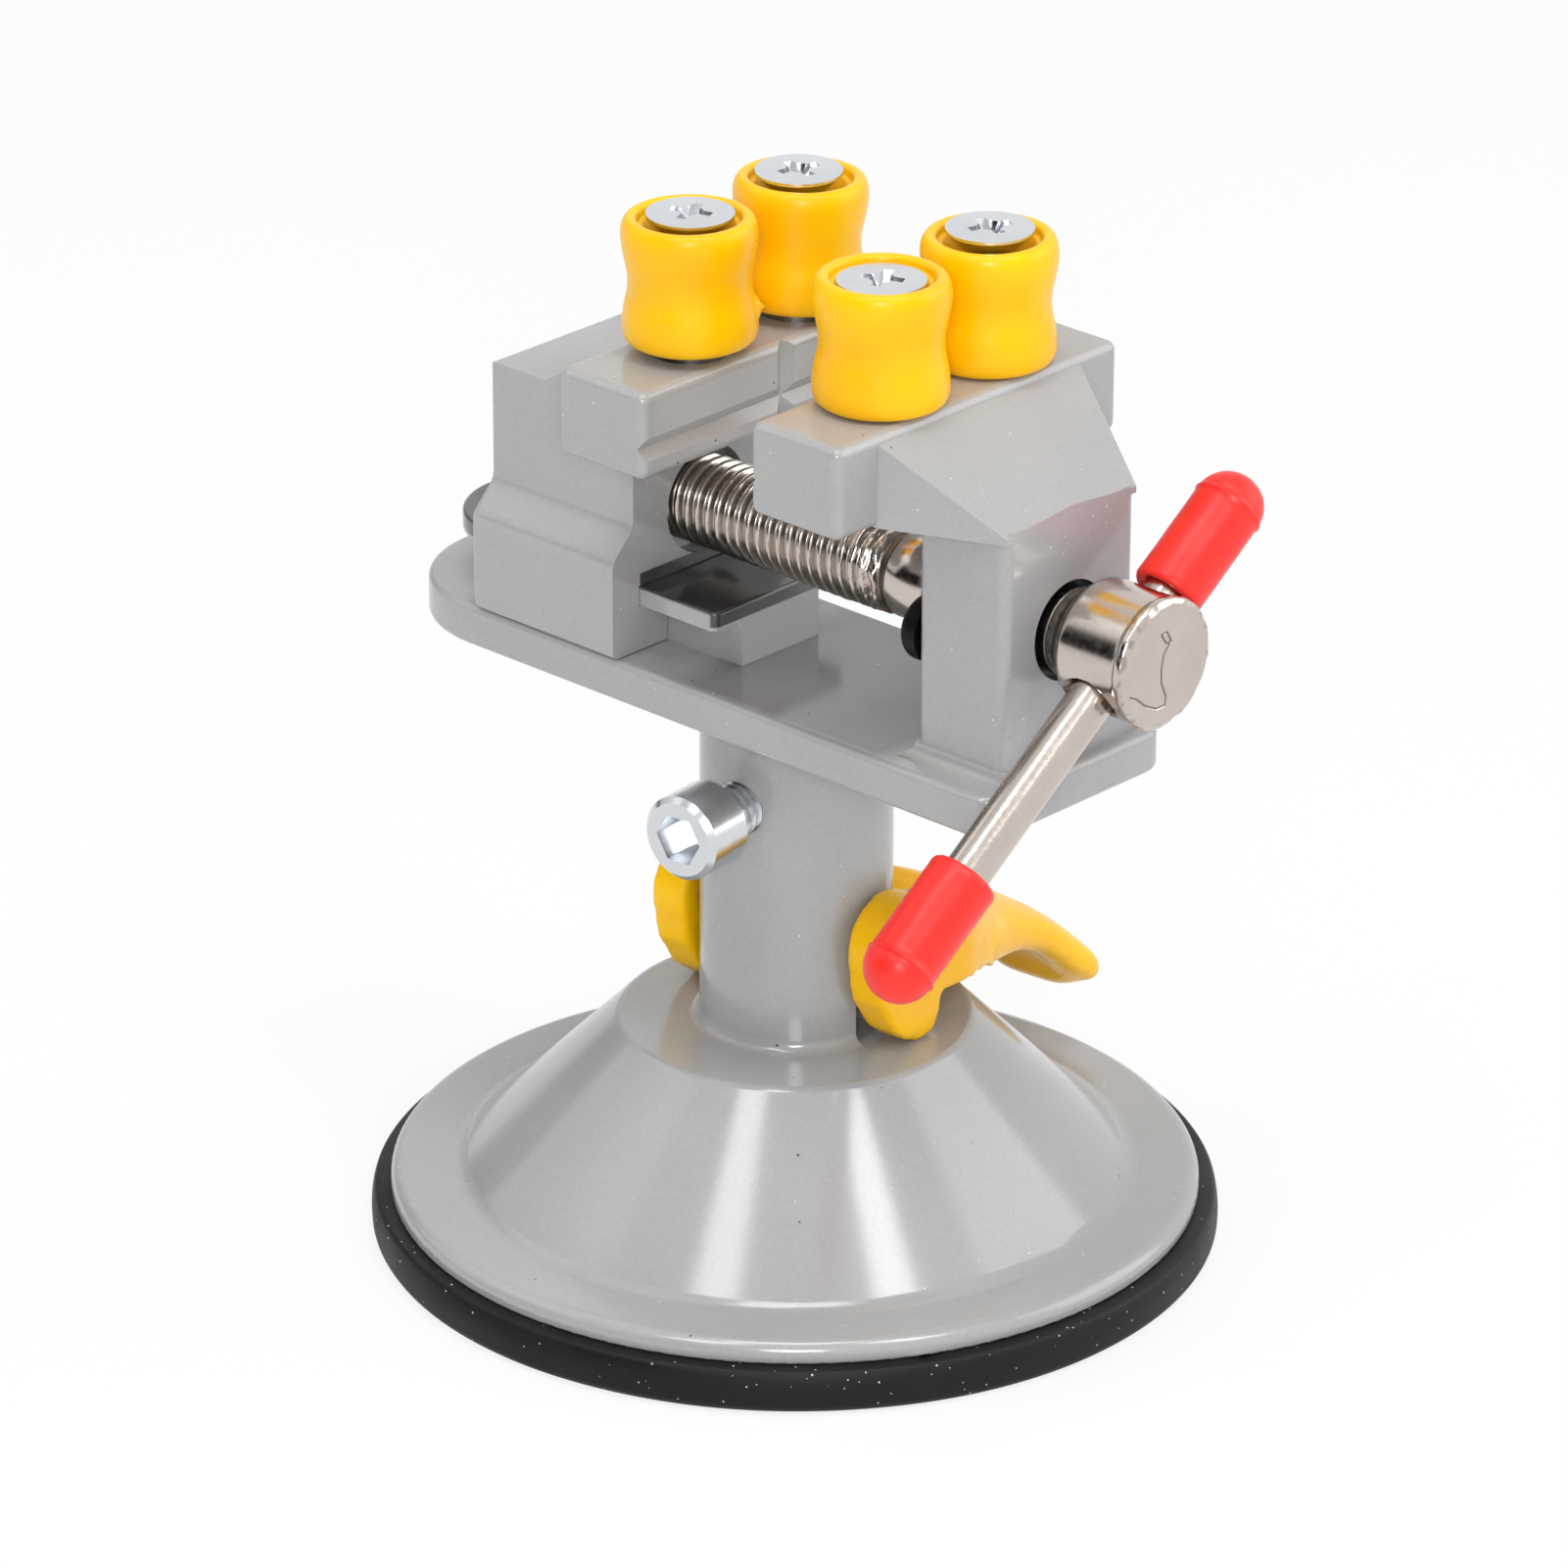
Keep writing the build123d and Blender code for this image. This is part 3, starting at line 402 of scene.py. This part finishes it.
# Lead screw: rolled M10 thread, its last turns mashed, and a turned head whose rim is hammered over
leadScrew = dict(axisHeight=82.3, left=-41.8, dome=1.6, threadEnd=16.1, core=4.25, crest=5.05, pitch=1.5, mashStart=9.5,
                 shank=4.8, groove=(23.88, 26.62, 3.34),
                 headStart=39.65, headRadius=6.95, rimRadius=7.22, rimStart=50.7, end=52.2,
                 holeAt=46.6, holeRadius=2.56, holeAngle=35.5, holeDish=3.25,
                 scar=[(0.42, 2.19), (-0.41, 1.22), (-0.8, -0.37), (-0.65, -1.9), (0.1, -3.6), (-0.04, -4.56), (-1.42, -4.56),
                       (-3.17, -3.7), (-4.58, -2.5), (-5.63, -2.0)],
                 nick=[(0.03, 3.66), (-0.83, 3.56), (0.07, 2.3), (0.76, 2.45), (0.03, 3.66)])


# stores how dark each point is drawn: painted shade, and the scar on the head's end
def storeDarkness(piece, shadeAndDirt):
    piece.data.attributes.new("shadeAndDirt", "FLOAT", "POINT").data.foreach_set("value", shadeAndDirt)


def toLine(y, z, line):
    # how far a point of the end face is from a scratch
    nearest = math.inf
    for (ya, za), (yb, zb) in zip(line, line[1:]):
        span = (yb - ya) ** 2 + (zb - za) ** 2
        t = min(max(((y - ya) * (yb - ya) + (z - za) * (zb - za)) / span, 0), 1)
        nearest = min(nearest, math.hypot(y - ya - t * (yb - ya), z - za - t * (zb - za)))
    return nearest


def leadScrewPiece():
    s = leadScrew
    along = axisFrame((0, 0, s["axisHeight"]), (0, 1, 0), (1, 0, 0))
    # painted shade: darkest in the thread's roots and at its run-out, in the corners at the thread's end and under the
    # shoulder, slight on the tip
    shadeAndDirt = []

    def threaded(radius, x, angle):
        phase = (x / s["pitch"] - angle / (2 * math.pi)) % 1
        slope = 1 - smoothStep(0.14, 0.86, abs(phase - 0.5) * 2)
        fade = smoothStep(s["left"] + s["dome"], s["left"] + s["dome"] + 1.0, x)
        mash = smoothStep(s["mashStart"], s["threadEnd"] - 1.2, x)
        at = Vector((x * 1.5, math.cos(angle) * 3.4, math.sin(angle) * 3.4))
        rough = noise.noise(at * 1.1) * 0.34 + noise.noise(at * 3.1) * 0.16
        wear = noise.noise(at * 0.8) * 0.05
        ridge = (s["crest"] - s["core"]) * fade * (slope * (1 - 0.45 * mash) + 0.22 * mash)
        ring = smoothStep(s["threadEnd"] - 0.9, s["threadEnd"] - 0.3, x)
        depth = ridge + wear + rough * mash
        # painted shade in the thread's roots and where the thread runs out
        shadeAndDirt.append(min(1, max(0, (1 - slope) ** 2.2 * 0.34 * (1 - 0.4 * mash) + ring * 0.7)))
        return radius + depth * (1 - ring), x

    count = 96
    rings = []
    start = s["left"] + s["dome"]
    for x, share in ((s["left"], 0.74), (s["left"] + 0.3, 0.86), (s["left"] + 0.9, 0.96)):
        rings += latheRings([(s["core"] * share, x)], count, along)
        shadeAndDirt += [0.2] * count
    steps = round((s["threadEnd"] - start) / 0.1)
    thread = [(s["core"], start + (s["threadEnd"] - start) * step / steps) for step in range(steps + 1)]
    rings += latheRings(thread, count, along, threaded)
    grooveLow, grooveHigh, grooveRadius = s["groove"]
    shoulder = s["headStart"]
    # the third number of each corner is painted shade at the thread's end and under the shoulder
    plain = [(s["core"], s["threadEnd"] + 0.15, 0.9), (s["shank"] - 0.15, s["threadEnd"] + 0.5, 0.5),
             (s["shank"], s["threadEnd"] + 0.8, 0), (s["shank"], grooveLow, 0), (grooveRadius, grooveLow, 0),
             (grooveRadius, grooveHigh, 0), (s["shank"], grooveHigh, 0), (s["shank"], shoulder - 0.3, 0.2),
             (s["shank"] + 0.1, shoulder, 0.8)]
    rings += latheRings([(radius, x) for radius, x, _ in plain], count, along)
    shadeAndDirt += [darkness for _, _, darkness in plain for _ in range(count)]
    shank = ringMesh("screw_thread", rings)
    storeDarkness(shank, shadeAndDirt + [0.3, 0.3])
    return shank, along


def screwHead(along):
    s = leadScrew
    count = 256
    shadeAndDirt = []
    rim = s["rimRadius"]
    neck = [(s["shank"] - 0.2, 0.0, 0), (4.95, 0.0, 0.2), (5.05, 1.3, 0.5), (6.35, 2.5, 0.4), (6.5, 3.0, 0.3),
            (s["headRadius"], 3.4, 0.3)]
    corners = [(radius, s["headStart"] + x, ease) for radius, x, ease in neck]
    corners += [(s["headRadius"], s["rimStart"], 0.3), (rim, s["rimStart"] + 0.45, 0.3), (rim, s["end"] - 0.35, 0.4),
                (rim - 0.75, s["end"], 0)]
    line = dense(roundedOutline(corners, 5), 0.25)
    line += [Vector((6.4 - 0.11 * step, s["end"])) for step in range(58)]    # the end face

    def hammered(radius, x, angle):
        y, z = radius * math.cos(angle), radius * math.sin(angle)
        at = Vector((x, y, z))
        darkness = 0.0
        # the neck is darkened with painted shade
        if x < s["headStart"] + 3.2:                       # rough turned neck
            radius += noise.noise(at * 1.6) * 0.05 + noise.noise(at * 4.0) * 0.04
            darkness = 0.7 + 0.3 * noise.noise(at * 1.2)
        lip = smoothStep(s["rimStart"] - 0.2, s["rimStart"] + 0.5, x) * smoothStep(6.2, 6.8, radius)
        # painted shade in the folds of the hammered rim
        if lip > 0:                                        # rim hammered over, uneven all round
            around = Vector((math.cos(angle), math.sin(angle), 0.0))
            ragged = noise.noise(around * 2.2) * 0.16 + noise.noise(around * 9 + Vector((0, 0, x))) * 0.07
            radius += lip * ragged
            x += lip * noise.noise(around * 5 + Vector((4, 0, 0))) * 0.12 - 0.05 * lip
            darkness = max(darkness, 0.35 * lip * smoothStep(0.0, -0.4, noise.noise(around * 6 + Vector((0, 3, x * 2)))))
        face = smoothStep(s["end"] - 0.02, s["end"], x) * smoothStep(6.9, 6.3, radius)
        if face > 0:                                       # end face: slightly dished waves and the scar of the press
            scar = min(toLine(y, z, s["scar"]), toLine(y, z, s["nick"]))
            cut = math.exp(-(scar / 0.11) ** 2)
            x += -0.13 * cut * face + noise.noise(at * 0.5) * 0.06 - 0.04
            darkness = max(darkness, 0.85 * cut)
        shadeAndDirt.append(darkness)
        return radius, x

    rings = latheRings(line, count, along, hammered)
    head = ringMesh("screw_head", rings)
    storeDarkness(head, shadeAndDirt + [0.2, 0.0])
    angle = math.radians(s["holeAngle"])
    barAxis = axisFrame((s["holeAt"], 0, s["axisHeight"]), (1, 0, 0), (0, math.cos(angle), math.sin(angle)))
    reach = s["headRadius"]
    dish = s["holeDish"]
    half = [(s["holeRadius"], 0), (s["holeRadius"], reach - 1.5), (s["holeRadius"] + 0.25, reach - 0.9),
            (dish + 0.15, reach - 0.1), (dish + 1.2, reach + 1.2)]
    line = [(radius, -height) for radius, height in half[:0:-1]] + half
    cutter = ringMesh("bar_hole", latheRings(line, 64, barAxis))
    # painted shade inside the bar hole, which the cut carries onto the head
    storeDarkness(cutter, [0.9] * len(cutter.data.vertices))
    bore = head.modifiers.new("bar hole", "BOOLEAN")
    bore.object = cutter
    bore.solver = "EXACT"
    applyModifiers(head)
    bpy.data.objects.remove(cutter)
    return head


def applyModifiers(piece):
    graph = bpy.context.evaluated_depsgraph_get()
    made = bpy.data.meshes.new_from_object(piece.evaluated_get(graph))
    piece.modifiers.clear()
    piece.data = made


def joined(pieces, name):
    first = pieces[0]
    for piece in bpy.context.selected_objects:
        piece.select_set(False)
    for piece in pieces:
        piece.select_set(True)
    bpy.context.view_layer.objects.active = first
    bpy.ops.object.join()
    first.name = name
    return first


for name in peg["lean"]:
    pegPiece(name)
shank, along = leadScrewPiece()
stand(joined([shank, screwHead(along)], "threaded_screw"), "lead_screw")


# Caps: soft sleeves pushed on the bar, a flash line where the dome starts and a slightly flared mouth
cap = dict(radius=3.85, length=15.8, flash=0.16, boreRadius=2.5)


def capPiece(node, name, tip):
    side = 1 if tip > 0 else -1
    angle = math.radians(leadScrew["holeAngle"])
    axis = Vector((0, math.cos(angle), math.sin(angle))) * side
    placed = axisFrame((leadScrew["holeAt"], 0, leadScrew["axisHeight"]), (1, 0, 0), axis)
    far = abs(tip)
    mouth = far - cap["length"]
    domeStart = far - cap["radius"]
    r = cap["radius"]
    outline = [(cap["boreRadius"] + 0.02, mouth + 3.0), (cap["boreRadius"] + 0.1, mouth + 0.4), (r - 0.7, mouth),
               (r - 0.15, mouth + 0.12), (r + 0.02, mouth + 0.5), (r, mouth + 1.2)]
    steps = 14
    outline += [(r, mouth + 1.2 + (domeStart - 0.25 - mouth - 1.2) * step / steps) for step in range(1, steps + 1)]
    outline += [(r + cap["flash"], domeStart - 0.08), (r + cap["flash"], domeStart + 0.08), (r - 0.03, domeStart + 0.2)]
    outline += [(r * math.cos(math.radians(bend)), domeStart + r * math.sin(math.radians(bend))) for bend in range(9, 90, 6)]

    def soft(radius, height, turn):
        at = Vector((math.cos(turn), math.sin(turn), height * 0.16 + side * 4))
        return radius + (noise.noise(at * 1.4) * 0.07 if height > mouth + 0.3 else noise.noise(at * 4) * 0.08), height

    piece = ringMesh(name, latheRings(outline, 96, placed, soft))
    return stand(piece, node)


for node, name, tip in (("bar_cap_upper", "sleeve_upper", 23.3), ("bar_cap_lower", "sleeve_lower", -46.2)):
    capPiece(node, name, tip)


# Lever: cheeks from the CAD, and a paddle that droops to a rounded lip and is scooped below
lever = dict(voxel=0.4 * mm, easing=12, turn=6.0, cutAt=21.6, paddleFrom=20.4, tip=48.5, corner=3.4, crown=0.7,
             scoop=2.1, scoopTo=23.5, edge=3.2,
             halfWidth=[(18, 13.6), (21, 12.0), (26, 9.9), (31, 8.8), (36, 8.4), (49, 8.4)],
             top=[(18, 35.4), (21, 33.8), (28, 30.4), (35, 26.6), (40.6, 22.8), (45.5, 18.6), (47.6, 16.4), (48.6, 14.8)],
             sideBottom=[(18, 27.0), (20.6, 25.6), (24.2, 23.4), (28, 22.6), (31.5, 22.0), (36, 20.2), (40, 17.2), (43.3, 14.4),
                         (46, 12.9), (47.6, 13.2), (48.6, 14.2)],
             middleBottom=[(18, 27.0), (20.6, 25.6), (24, 23.4), (27, 23.0), (31, 23.6), (36, 21.8), (40, 18.6), (42.4, 15.8),
                           (44, 13.2), (46, 12.0), (47.6, 12.8), (48.6, 14.2)],
             foot=[(25.4, 2.55, 4.4), (26.3, -2.0, 5.0), (27.8, -2.8, 5.8), (31.1, -4.6, 6.2), (31.9, -5.0, 6.2)],
             roundedFoot=[(25.3, 2.6, 3.6), (25.7, 0.6, 4.5), (26.3, -0.7, 5.1), (27.8, -2.3, 5.8), (31.1, -4.5, 6.2),
                          (31.9, -5.0, 6.2)])


def through(points, value):
    # a smooth line through (place, height) points
    for index in range(len(points) - 1):
        (x0, y0), (x1, y1) = points[index], points[index + 1]
        if value <= x1 or index == len(points) - 2:
            break
    xBefore, yBefore = points[max(index - 1, 0)]
    xAfter, yAfter = points[min(index + 2, len(points) - 1)]
    span = x1 - x0
    slopeIn = (y1 - yBefore) / (x1 - xBefore) * span
    slopeOut = (yAfter - y0) / (xAfter - x0) * span
    t = min(max((value - x0) / span, 0), 1)
    squared = 3 * (y1 - y0) - 2 * slopeIn - slopeOut
    cubed = 2 * (y0 - y1) + slopeIn + slopeOut
    return y0 + t * slopeIn + t * t * squared + t ** 3 * cubed


def leverAxes():
    # along the pin, and from the pin to the tip
    turn = math.radians(lever["turn"])
    return Vector((math.cos(turn), math.sin(turn), 0)), Vector((-math.sin(turn), math.cos(turn), 0))


def paddleRings():
    p = lever
    uAxis, vAxis = leverAxes()
    rings = []
    steps = 72
    for step in range(steps + 1):
        v = p["paddleFrom"] + (p["tip"] - p["paddleFrom"]) * math.sin(step / steps * math.pi / 2)
        half = through(p["halfWidth"], v)
        past = max(0, (v - p["tip"] + p["corner"]) / p["corner"])
        half -= p["corner"] * (1 - math.sqrt(max(0, 1 - past ** 2.4))) * 0.98
        top, side, middle = (through(p[key], v) for key in ("top", "sideBottom", "middleBottom"))
        ring = []
        for point in range(48):
            angle = 2 * math.pi * point / 48
            across = math.copysign(abs(math.cos(angle)) ** (2 / p["edge"]), math.cos(angle))
            rise = math.copysign(abs(math.sin(angle)) ** (2 / p["edge"]), math.sin(angle))
            low = side + (middle - side) * (1 - smoothStep(0.35, 0.85, abs(across)))
            centre = (top + side) / 2
            z = centre + rise * (top - centre if rise > 0 else centre - low)
            # the scoop clears the column when the lever is up
            lift = p["crown"] - p["scoop"] * (1 - smoothStep(p["paddleFrom"], p["scoopTo"], v))
            z += lift * (1 - across ** 2) * max(rise, 0)
            ring.append((uAxis * across * half + vAxis * v) * mm + Vector((0, 0, z * mm)))
        rings.append(ring)
    return rings


def leverPiece():
    vAxis = leverAxes()[1]
    source = nodes["cam_lever"].data.copy()
    cheeks = bpy.data.objects.new("cam_lever_moulding", source)
    bpy.context.scene.collection.objects.link(cheeks)
    cut = bmesh.new()
    cut.from_mesh(source)
    bmesh.ops.remove_doubles(cut, verts=cut.verts, dist=0.002 * mm)
    halved = bmesh.ops.bisect_plane(cut, geom=cut.verts[:] + cut.edges[:] + cut.faces[:],
                                    plane_co=vAxis * lever["cutAt"] * mm, plane_no=vAxis, clear_outer=True)
    rimEdges = [edge for edge in halved["geom_cut"] if isinstance(edge, bmesh.types.BMEdge)]
    bmesh.ops.triangle_fill(cut, use_beauty=True, edges=rimEdges)
    bmesh.ops.recalc_face_normals(cut, faces=cut.faces)
    cut.to_mesh(source)
    cut.free()
    piece = joined([cheeks, ringMesh("paddle", paddleRings())], "cam_lever_moulding")
    remesh = piece.modifiers.new("even skin", "REMESH")
    remesh.mode = "VOXEL"
    remesh.voxel_size = lever["voxel"]
    ease = piece.modifiers.new("soft edges", "SMOOTH")
    ease.factor = 0.5
    ease.iterations = lever["easing"]
    applyModifiers(piece)
    now, wanted = ([[(row[0], row[side]) for row in lever[key]] for side in (1, 2)] for key in ("foot", "roundedFoot"))
    for vertex in piece.data.vertices:
        v = vertex.co.dot(vAxis) / mm
        z = vertex.co.z / mm
        if z < 31.9 and v < 8:
            low, high = (through(line, z) for line in now)
            share = (v - low) / (high - low)
            newLow, newHigh = (through(line, z) for line in wanted)
            vertex.co += vAxis * (newLow + share * (newHigh - newLow) - v) * mm
    piece.data.polygons.foreach_set("use_smooth", [True] * len(piece.data.polygons))
    return stand(piece, "cam_lever")


leverPiece()


# Suction cup: thick rim that shows under the cover, and the membrane that the rod pulls
cup = dict(radius=47.0, rimHeight=5.0, sealInner=39.0, membraneTop=11.0, skin=2.0, bossRadius=10.5, bossTop=17.5, rodHole=4.1,
           nickAzimuth=-29.0, nickDepth=0.5)


def suctionCup():
    c = cup
    outline = [(c["rodHole"], c["membraneTop"] - c["skin"], 0), (c["bossRadius"], c["membraneTop"] - c["skin"], 2),
               (c["sealInner"] - 4, c["rimHeight"] - 2.4, 2), (c["sealInner"], 0.0, 0.3), (c["radius"] - 0.9, 0.0, 0.5),
               (c["radius"] - 0.1, 0.7, 0.6), (c["radius"], 3.2, 1.0), (c["radius"] - 0.5, c["rimHeight"] - 0.1, 0.7),
               (c["radius"] - 1.4, c["rimHeight"], 0.4), (c["sealInner"] - 5, c["rimHeight"], 1),
               (c["bossRadius"], c["membraneTop"], 1), (c["bossRadius"] - 0.8, c["bossTop"], 0.5),
               (c["rodHole"], c["bossTop"], 0)]

    def moulded(radius, height, angle):
        if radius < c["sealInner"]:
            return radius, height
        around = Vector((math.cos(angle), math.sin(angle), height * 0.2))
        apart = (math.degrees(angle) - c["nickAzimuth"] + 180) % 360 - 180
        nick = math.exp(-(apart / 1.3) ** 2) * smoothStep(1.0, 3.0, height)
        return radius + noise.noise(around * 2.5) * 0.07 - c["nickDepth"] * nick - 0.03, height - 0.25 * nick

    line = dense(roundedOutline(outline, 6), 1.2)
    piece = ringMesh("suction_cup_moulding", latheRings(line + [line[0]], 360, Matrix.Identity(4), moulded), closeEnds=False)
    piece.data.materials.append(finishes["black_rubber"])
    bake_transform(piece)
    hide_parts("suction_cup")
    return piece


suctionCup()
print("pieces made")

# Camera fitted to the photograph
view = dict(place=(0.58606, -0.63093, 0.44046), target=(-0.00102, -0.00095, 0.05255), roll=0.24, lens=199.44)


def addCamera():
    camera = bpy.data.objects.new("camera", bpy.data.cameras.new("camera"))
    camera.data.lens = view["lens"]
    camera.data.sensor_width = 36
    camera.data.clip_start = 0.01
    back = (Vector(view["place"]) - Vector(view["target"])).normalized()
    right = Vector((0, 0, 1)).cross(back).normalized()
    up = back.cross(right)
    roll = math.radians(view["roll"])
    turnedRight = right * math.cos(roll) + up * math.sin(roll)
    turnedUp = up * math.cos(roll) - right * math.sin(roll)
    camera.matrix_world = Matrix.Translation(view["place"]) @ Matrix((turnedRight, turnedUp, back)).transposed().to_4x4()
    bpy.context.scene.collection.objects.link(camera)
    bpy.context.scene.camera = camera


# Plain white studio: softboxes high at the front, weaker ones at the sides, and a ceiling that metal shows as bands
studio = dict(ambient=0.36, wall=1.0, screenSide=(-0.643, -0.766, 0.0), screenEdge=(0.1, 0.55), floorReach=6.0, whiteShare=0.82,
              ceiling=[(0.0, "#FFFFFF"), (0.5, "#FFFFFF"), (0.53, "#1E1C1B"), (0.62, "#0E0D0D"), (0.74, "#1A1918"),
                       (0.86, "#D0D0D0"), (1.0, "#D8D8D8")],
              softboxes=[dict(azimuth=-84, elevation=61, distance=1.2, width=0.24, height=0.5, power=2.5),
                         dict(azimuth=-1, elevation=60, distance=1.2, width=0.22, height=0.5, power=3.1),
                         dict(azimuth=-47, elevation=88, distance=1.2, width=0.4, height=0.4, power=3.2),
                         dict(azimuth=-47, elevation=24, distance=1.3, width=0.3, height=0.3, power=6.0),
                         dict(azimuth=50, elevation=24, distance=1.2, width=0.9, height=0.9, power=4.6),
                         dict(azimuth=-155, elevation=30, distance=1.2, width=0.9, height=0.9, power=2.0)])


def addStudio():
    scene = bpy.context.scene
    scene.view_settings.view_transform = "Standard"
    world = bpy.data.worlds.new("studio")
    world.use_nodes = True
    tree = world.node_tree
    tree.nodes.clear()
    path = addNode(tree, "ShaderNodeLightPath")
    seen = addNode(tree, "ShaderNodeMath", {0: path.outputs["Is Camera Ray"], 1: path.outputs["Is Transmission Ray"]},
                   operation="MAXIMUM")
    direction = addNode(tree, "ShaderNodeTexCoord").outputs["Generated"]
    height = addNode(tree, "ShaderNodeSeparateXYZ", {0: direction}).outputs[2]
    up = addNode(tree, "ShaderNodeMapRange", {0: height, 1: -1.0, 2: 1.0, 3: 0.0, 4: 1.0})
    bands = addNode(tree, "ShaderNodeValToRGB", {0: up})
    side = addNode(tree, "ShaderNodeVectorMath", {0: direction, 1: studio["screenSide"]}, operation="DOT_PRODUCT")
    edgeLow, edgeHigh = studio["screenEdge"]
    turnedTo = addNode(tree, "ShaderNodeMapRange", {0: side.outputs["Value"], 1: edgeLow, 2: edgeHigh, 3: 0.0, 4: 1.0})
    for position, hexColour in studio["ceiling"]:
        stop = bands.color_ramp.elements.new(position)
        stop.color = linear(hexColour)
    for spare in (bands.color_ramp.elements[-1], bands.color_ramp.elements[0]):
        bands.color_ramp.elements.remove(spare)
    plain = [studio["ambient"]] * 3 + [1.0]
    wall = [studio["wall"]] * 3 + [1.0]
    mirrored = addNode(tree, "ShaderNodeMix", {0: turnedTo, 6: wall, 7: bands.outputs[0]}, data_type="RGBA")
    lit = addNode(tree, "ShaderNodeMix", {0: path.outputs["Is Glossy Ray"], 6: plain, 7: mirrored.outputs[2]}, data_type="RGBA")
    shown = addNode(tree, "ShaderNodeMix", {0: seen, 6: lit.outputs[2], 7: (1, 1, 1, 1)}, data_type="RGBA")
    sky = addNode(tree, "ShaderNodeBackground", {"Color": shown.outputs[2], "Strength": 1.0})
    addNode(tree, "ShaderNodeOutputWorld", {"Surface": sky})
    scene.world = world
    for number, box in enumerate(studio["softboxes"]):
        lamp = bpy.data.objects.new(f"softbox_{number}", bpy.data.lights.new(f"softbox_{number}", "AREA"))
        lamp.data.shape = "RECTANGLE"
        lamp.data.size = box["width"]
        lamp.data.size_y = box["height"]
        lamp.data.energy = box["power"]
        azimuth, elevation = math.radians(box["azimuth"]), math.radians(box["elevation"])
        aim = Vector((0, 0, 0.06))
        away = Vector((math.cos(azimuth) * math.cos(elevation), math.sin(azimuth) * math.cos(elevation), math.sin(elevation)))
        lamp.location = aim + away * box["distance"]
        lamp.rotation_euler = away.to_track_quat("Z", "Y").to_euler()
        scene.collection.objects.link(lamp)
    reach = studio["floorReach"]
    mesh = bpy.data.meshes.new("floor")
    mesh.from_pydata([(-reach, -reach, 0), (reach, -reach, 0), (reach, reach, 0), (-reach, reach, 0)], [], [(0, 1, 2, 3)])
    floor = bpy.data.objects.new("floor", mesh)
    scene.collection.objects.link(floor)
    material, tree, _ = newMaterial("white_sweep")
    path = addNode(tree, "ShaderNodeLightPath")
    seen = addNode(tree, "ShaderNodeMath", {0: path.outputs["Is Camera Ray"], 1: path.outputs["Is Glossy Ray"]},
                   operation="MAXIMUM")
    share = addNode(tree, "ShaderNodeMath", {0: seen, 1: studio["whiteShare"]}, operation="MULTIPLY")
    matt = addNode(tree, "ShaderNodeBsdfDiffuse", {"Color": linear("#F2F2F2")})
    white = addNode(tree, "ShaderNodeEmission", {"Color": (1, 1, 1, 1), "Strength": 1.0})
    mixed = addNode(tree, "ShaderNodeMixShader", {0: share, 1: matt, 2: white})
    addNode(tree, "ShaderNodeOutputMaterial", {"Surface": mixed})
    mesh.materials.append(material)


addCamera()
addStudio()
print("camera and studio")
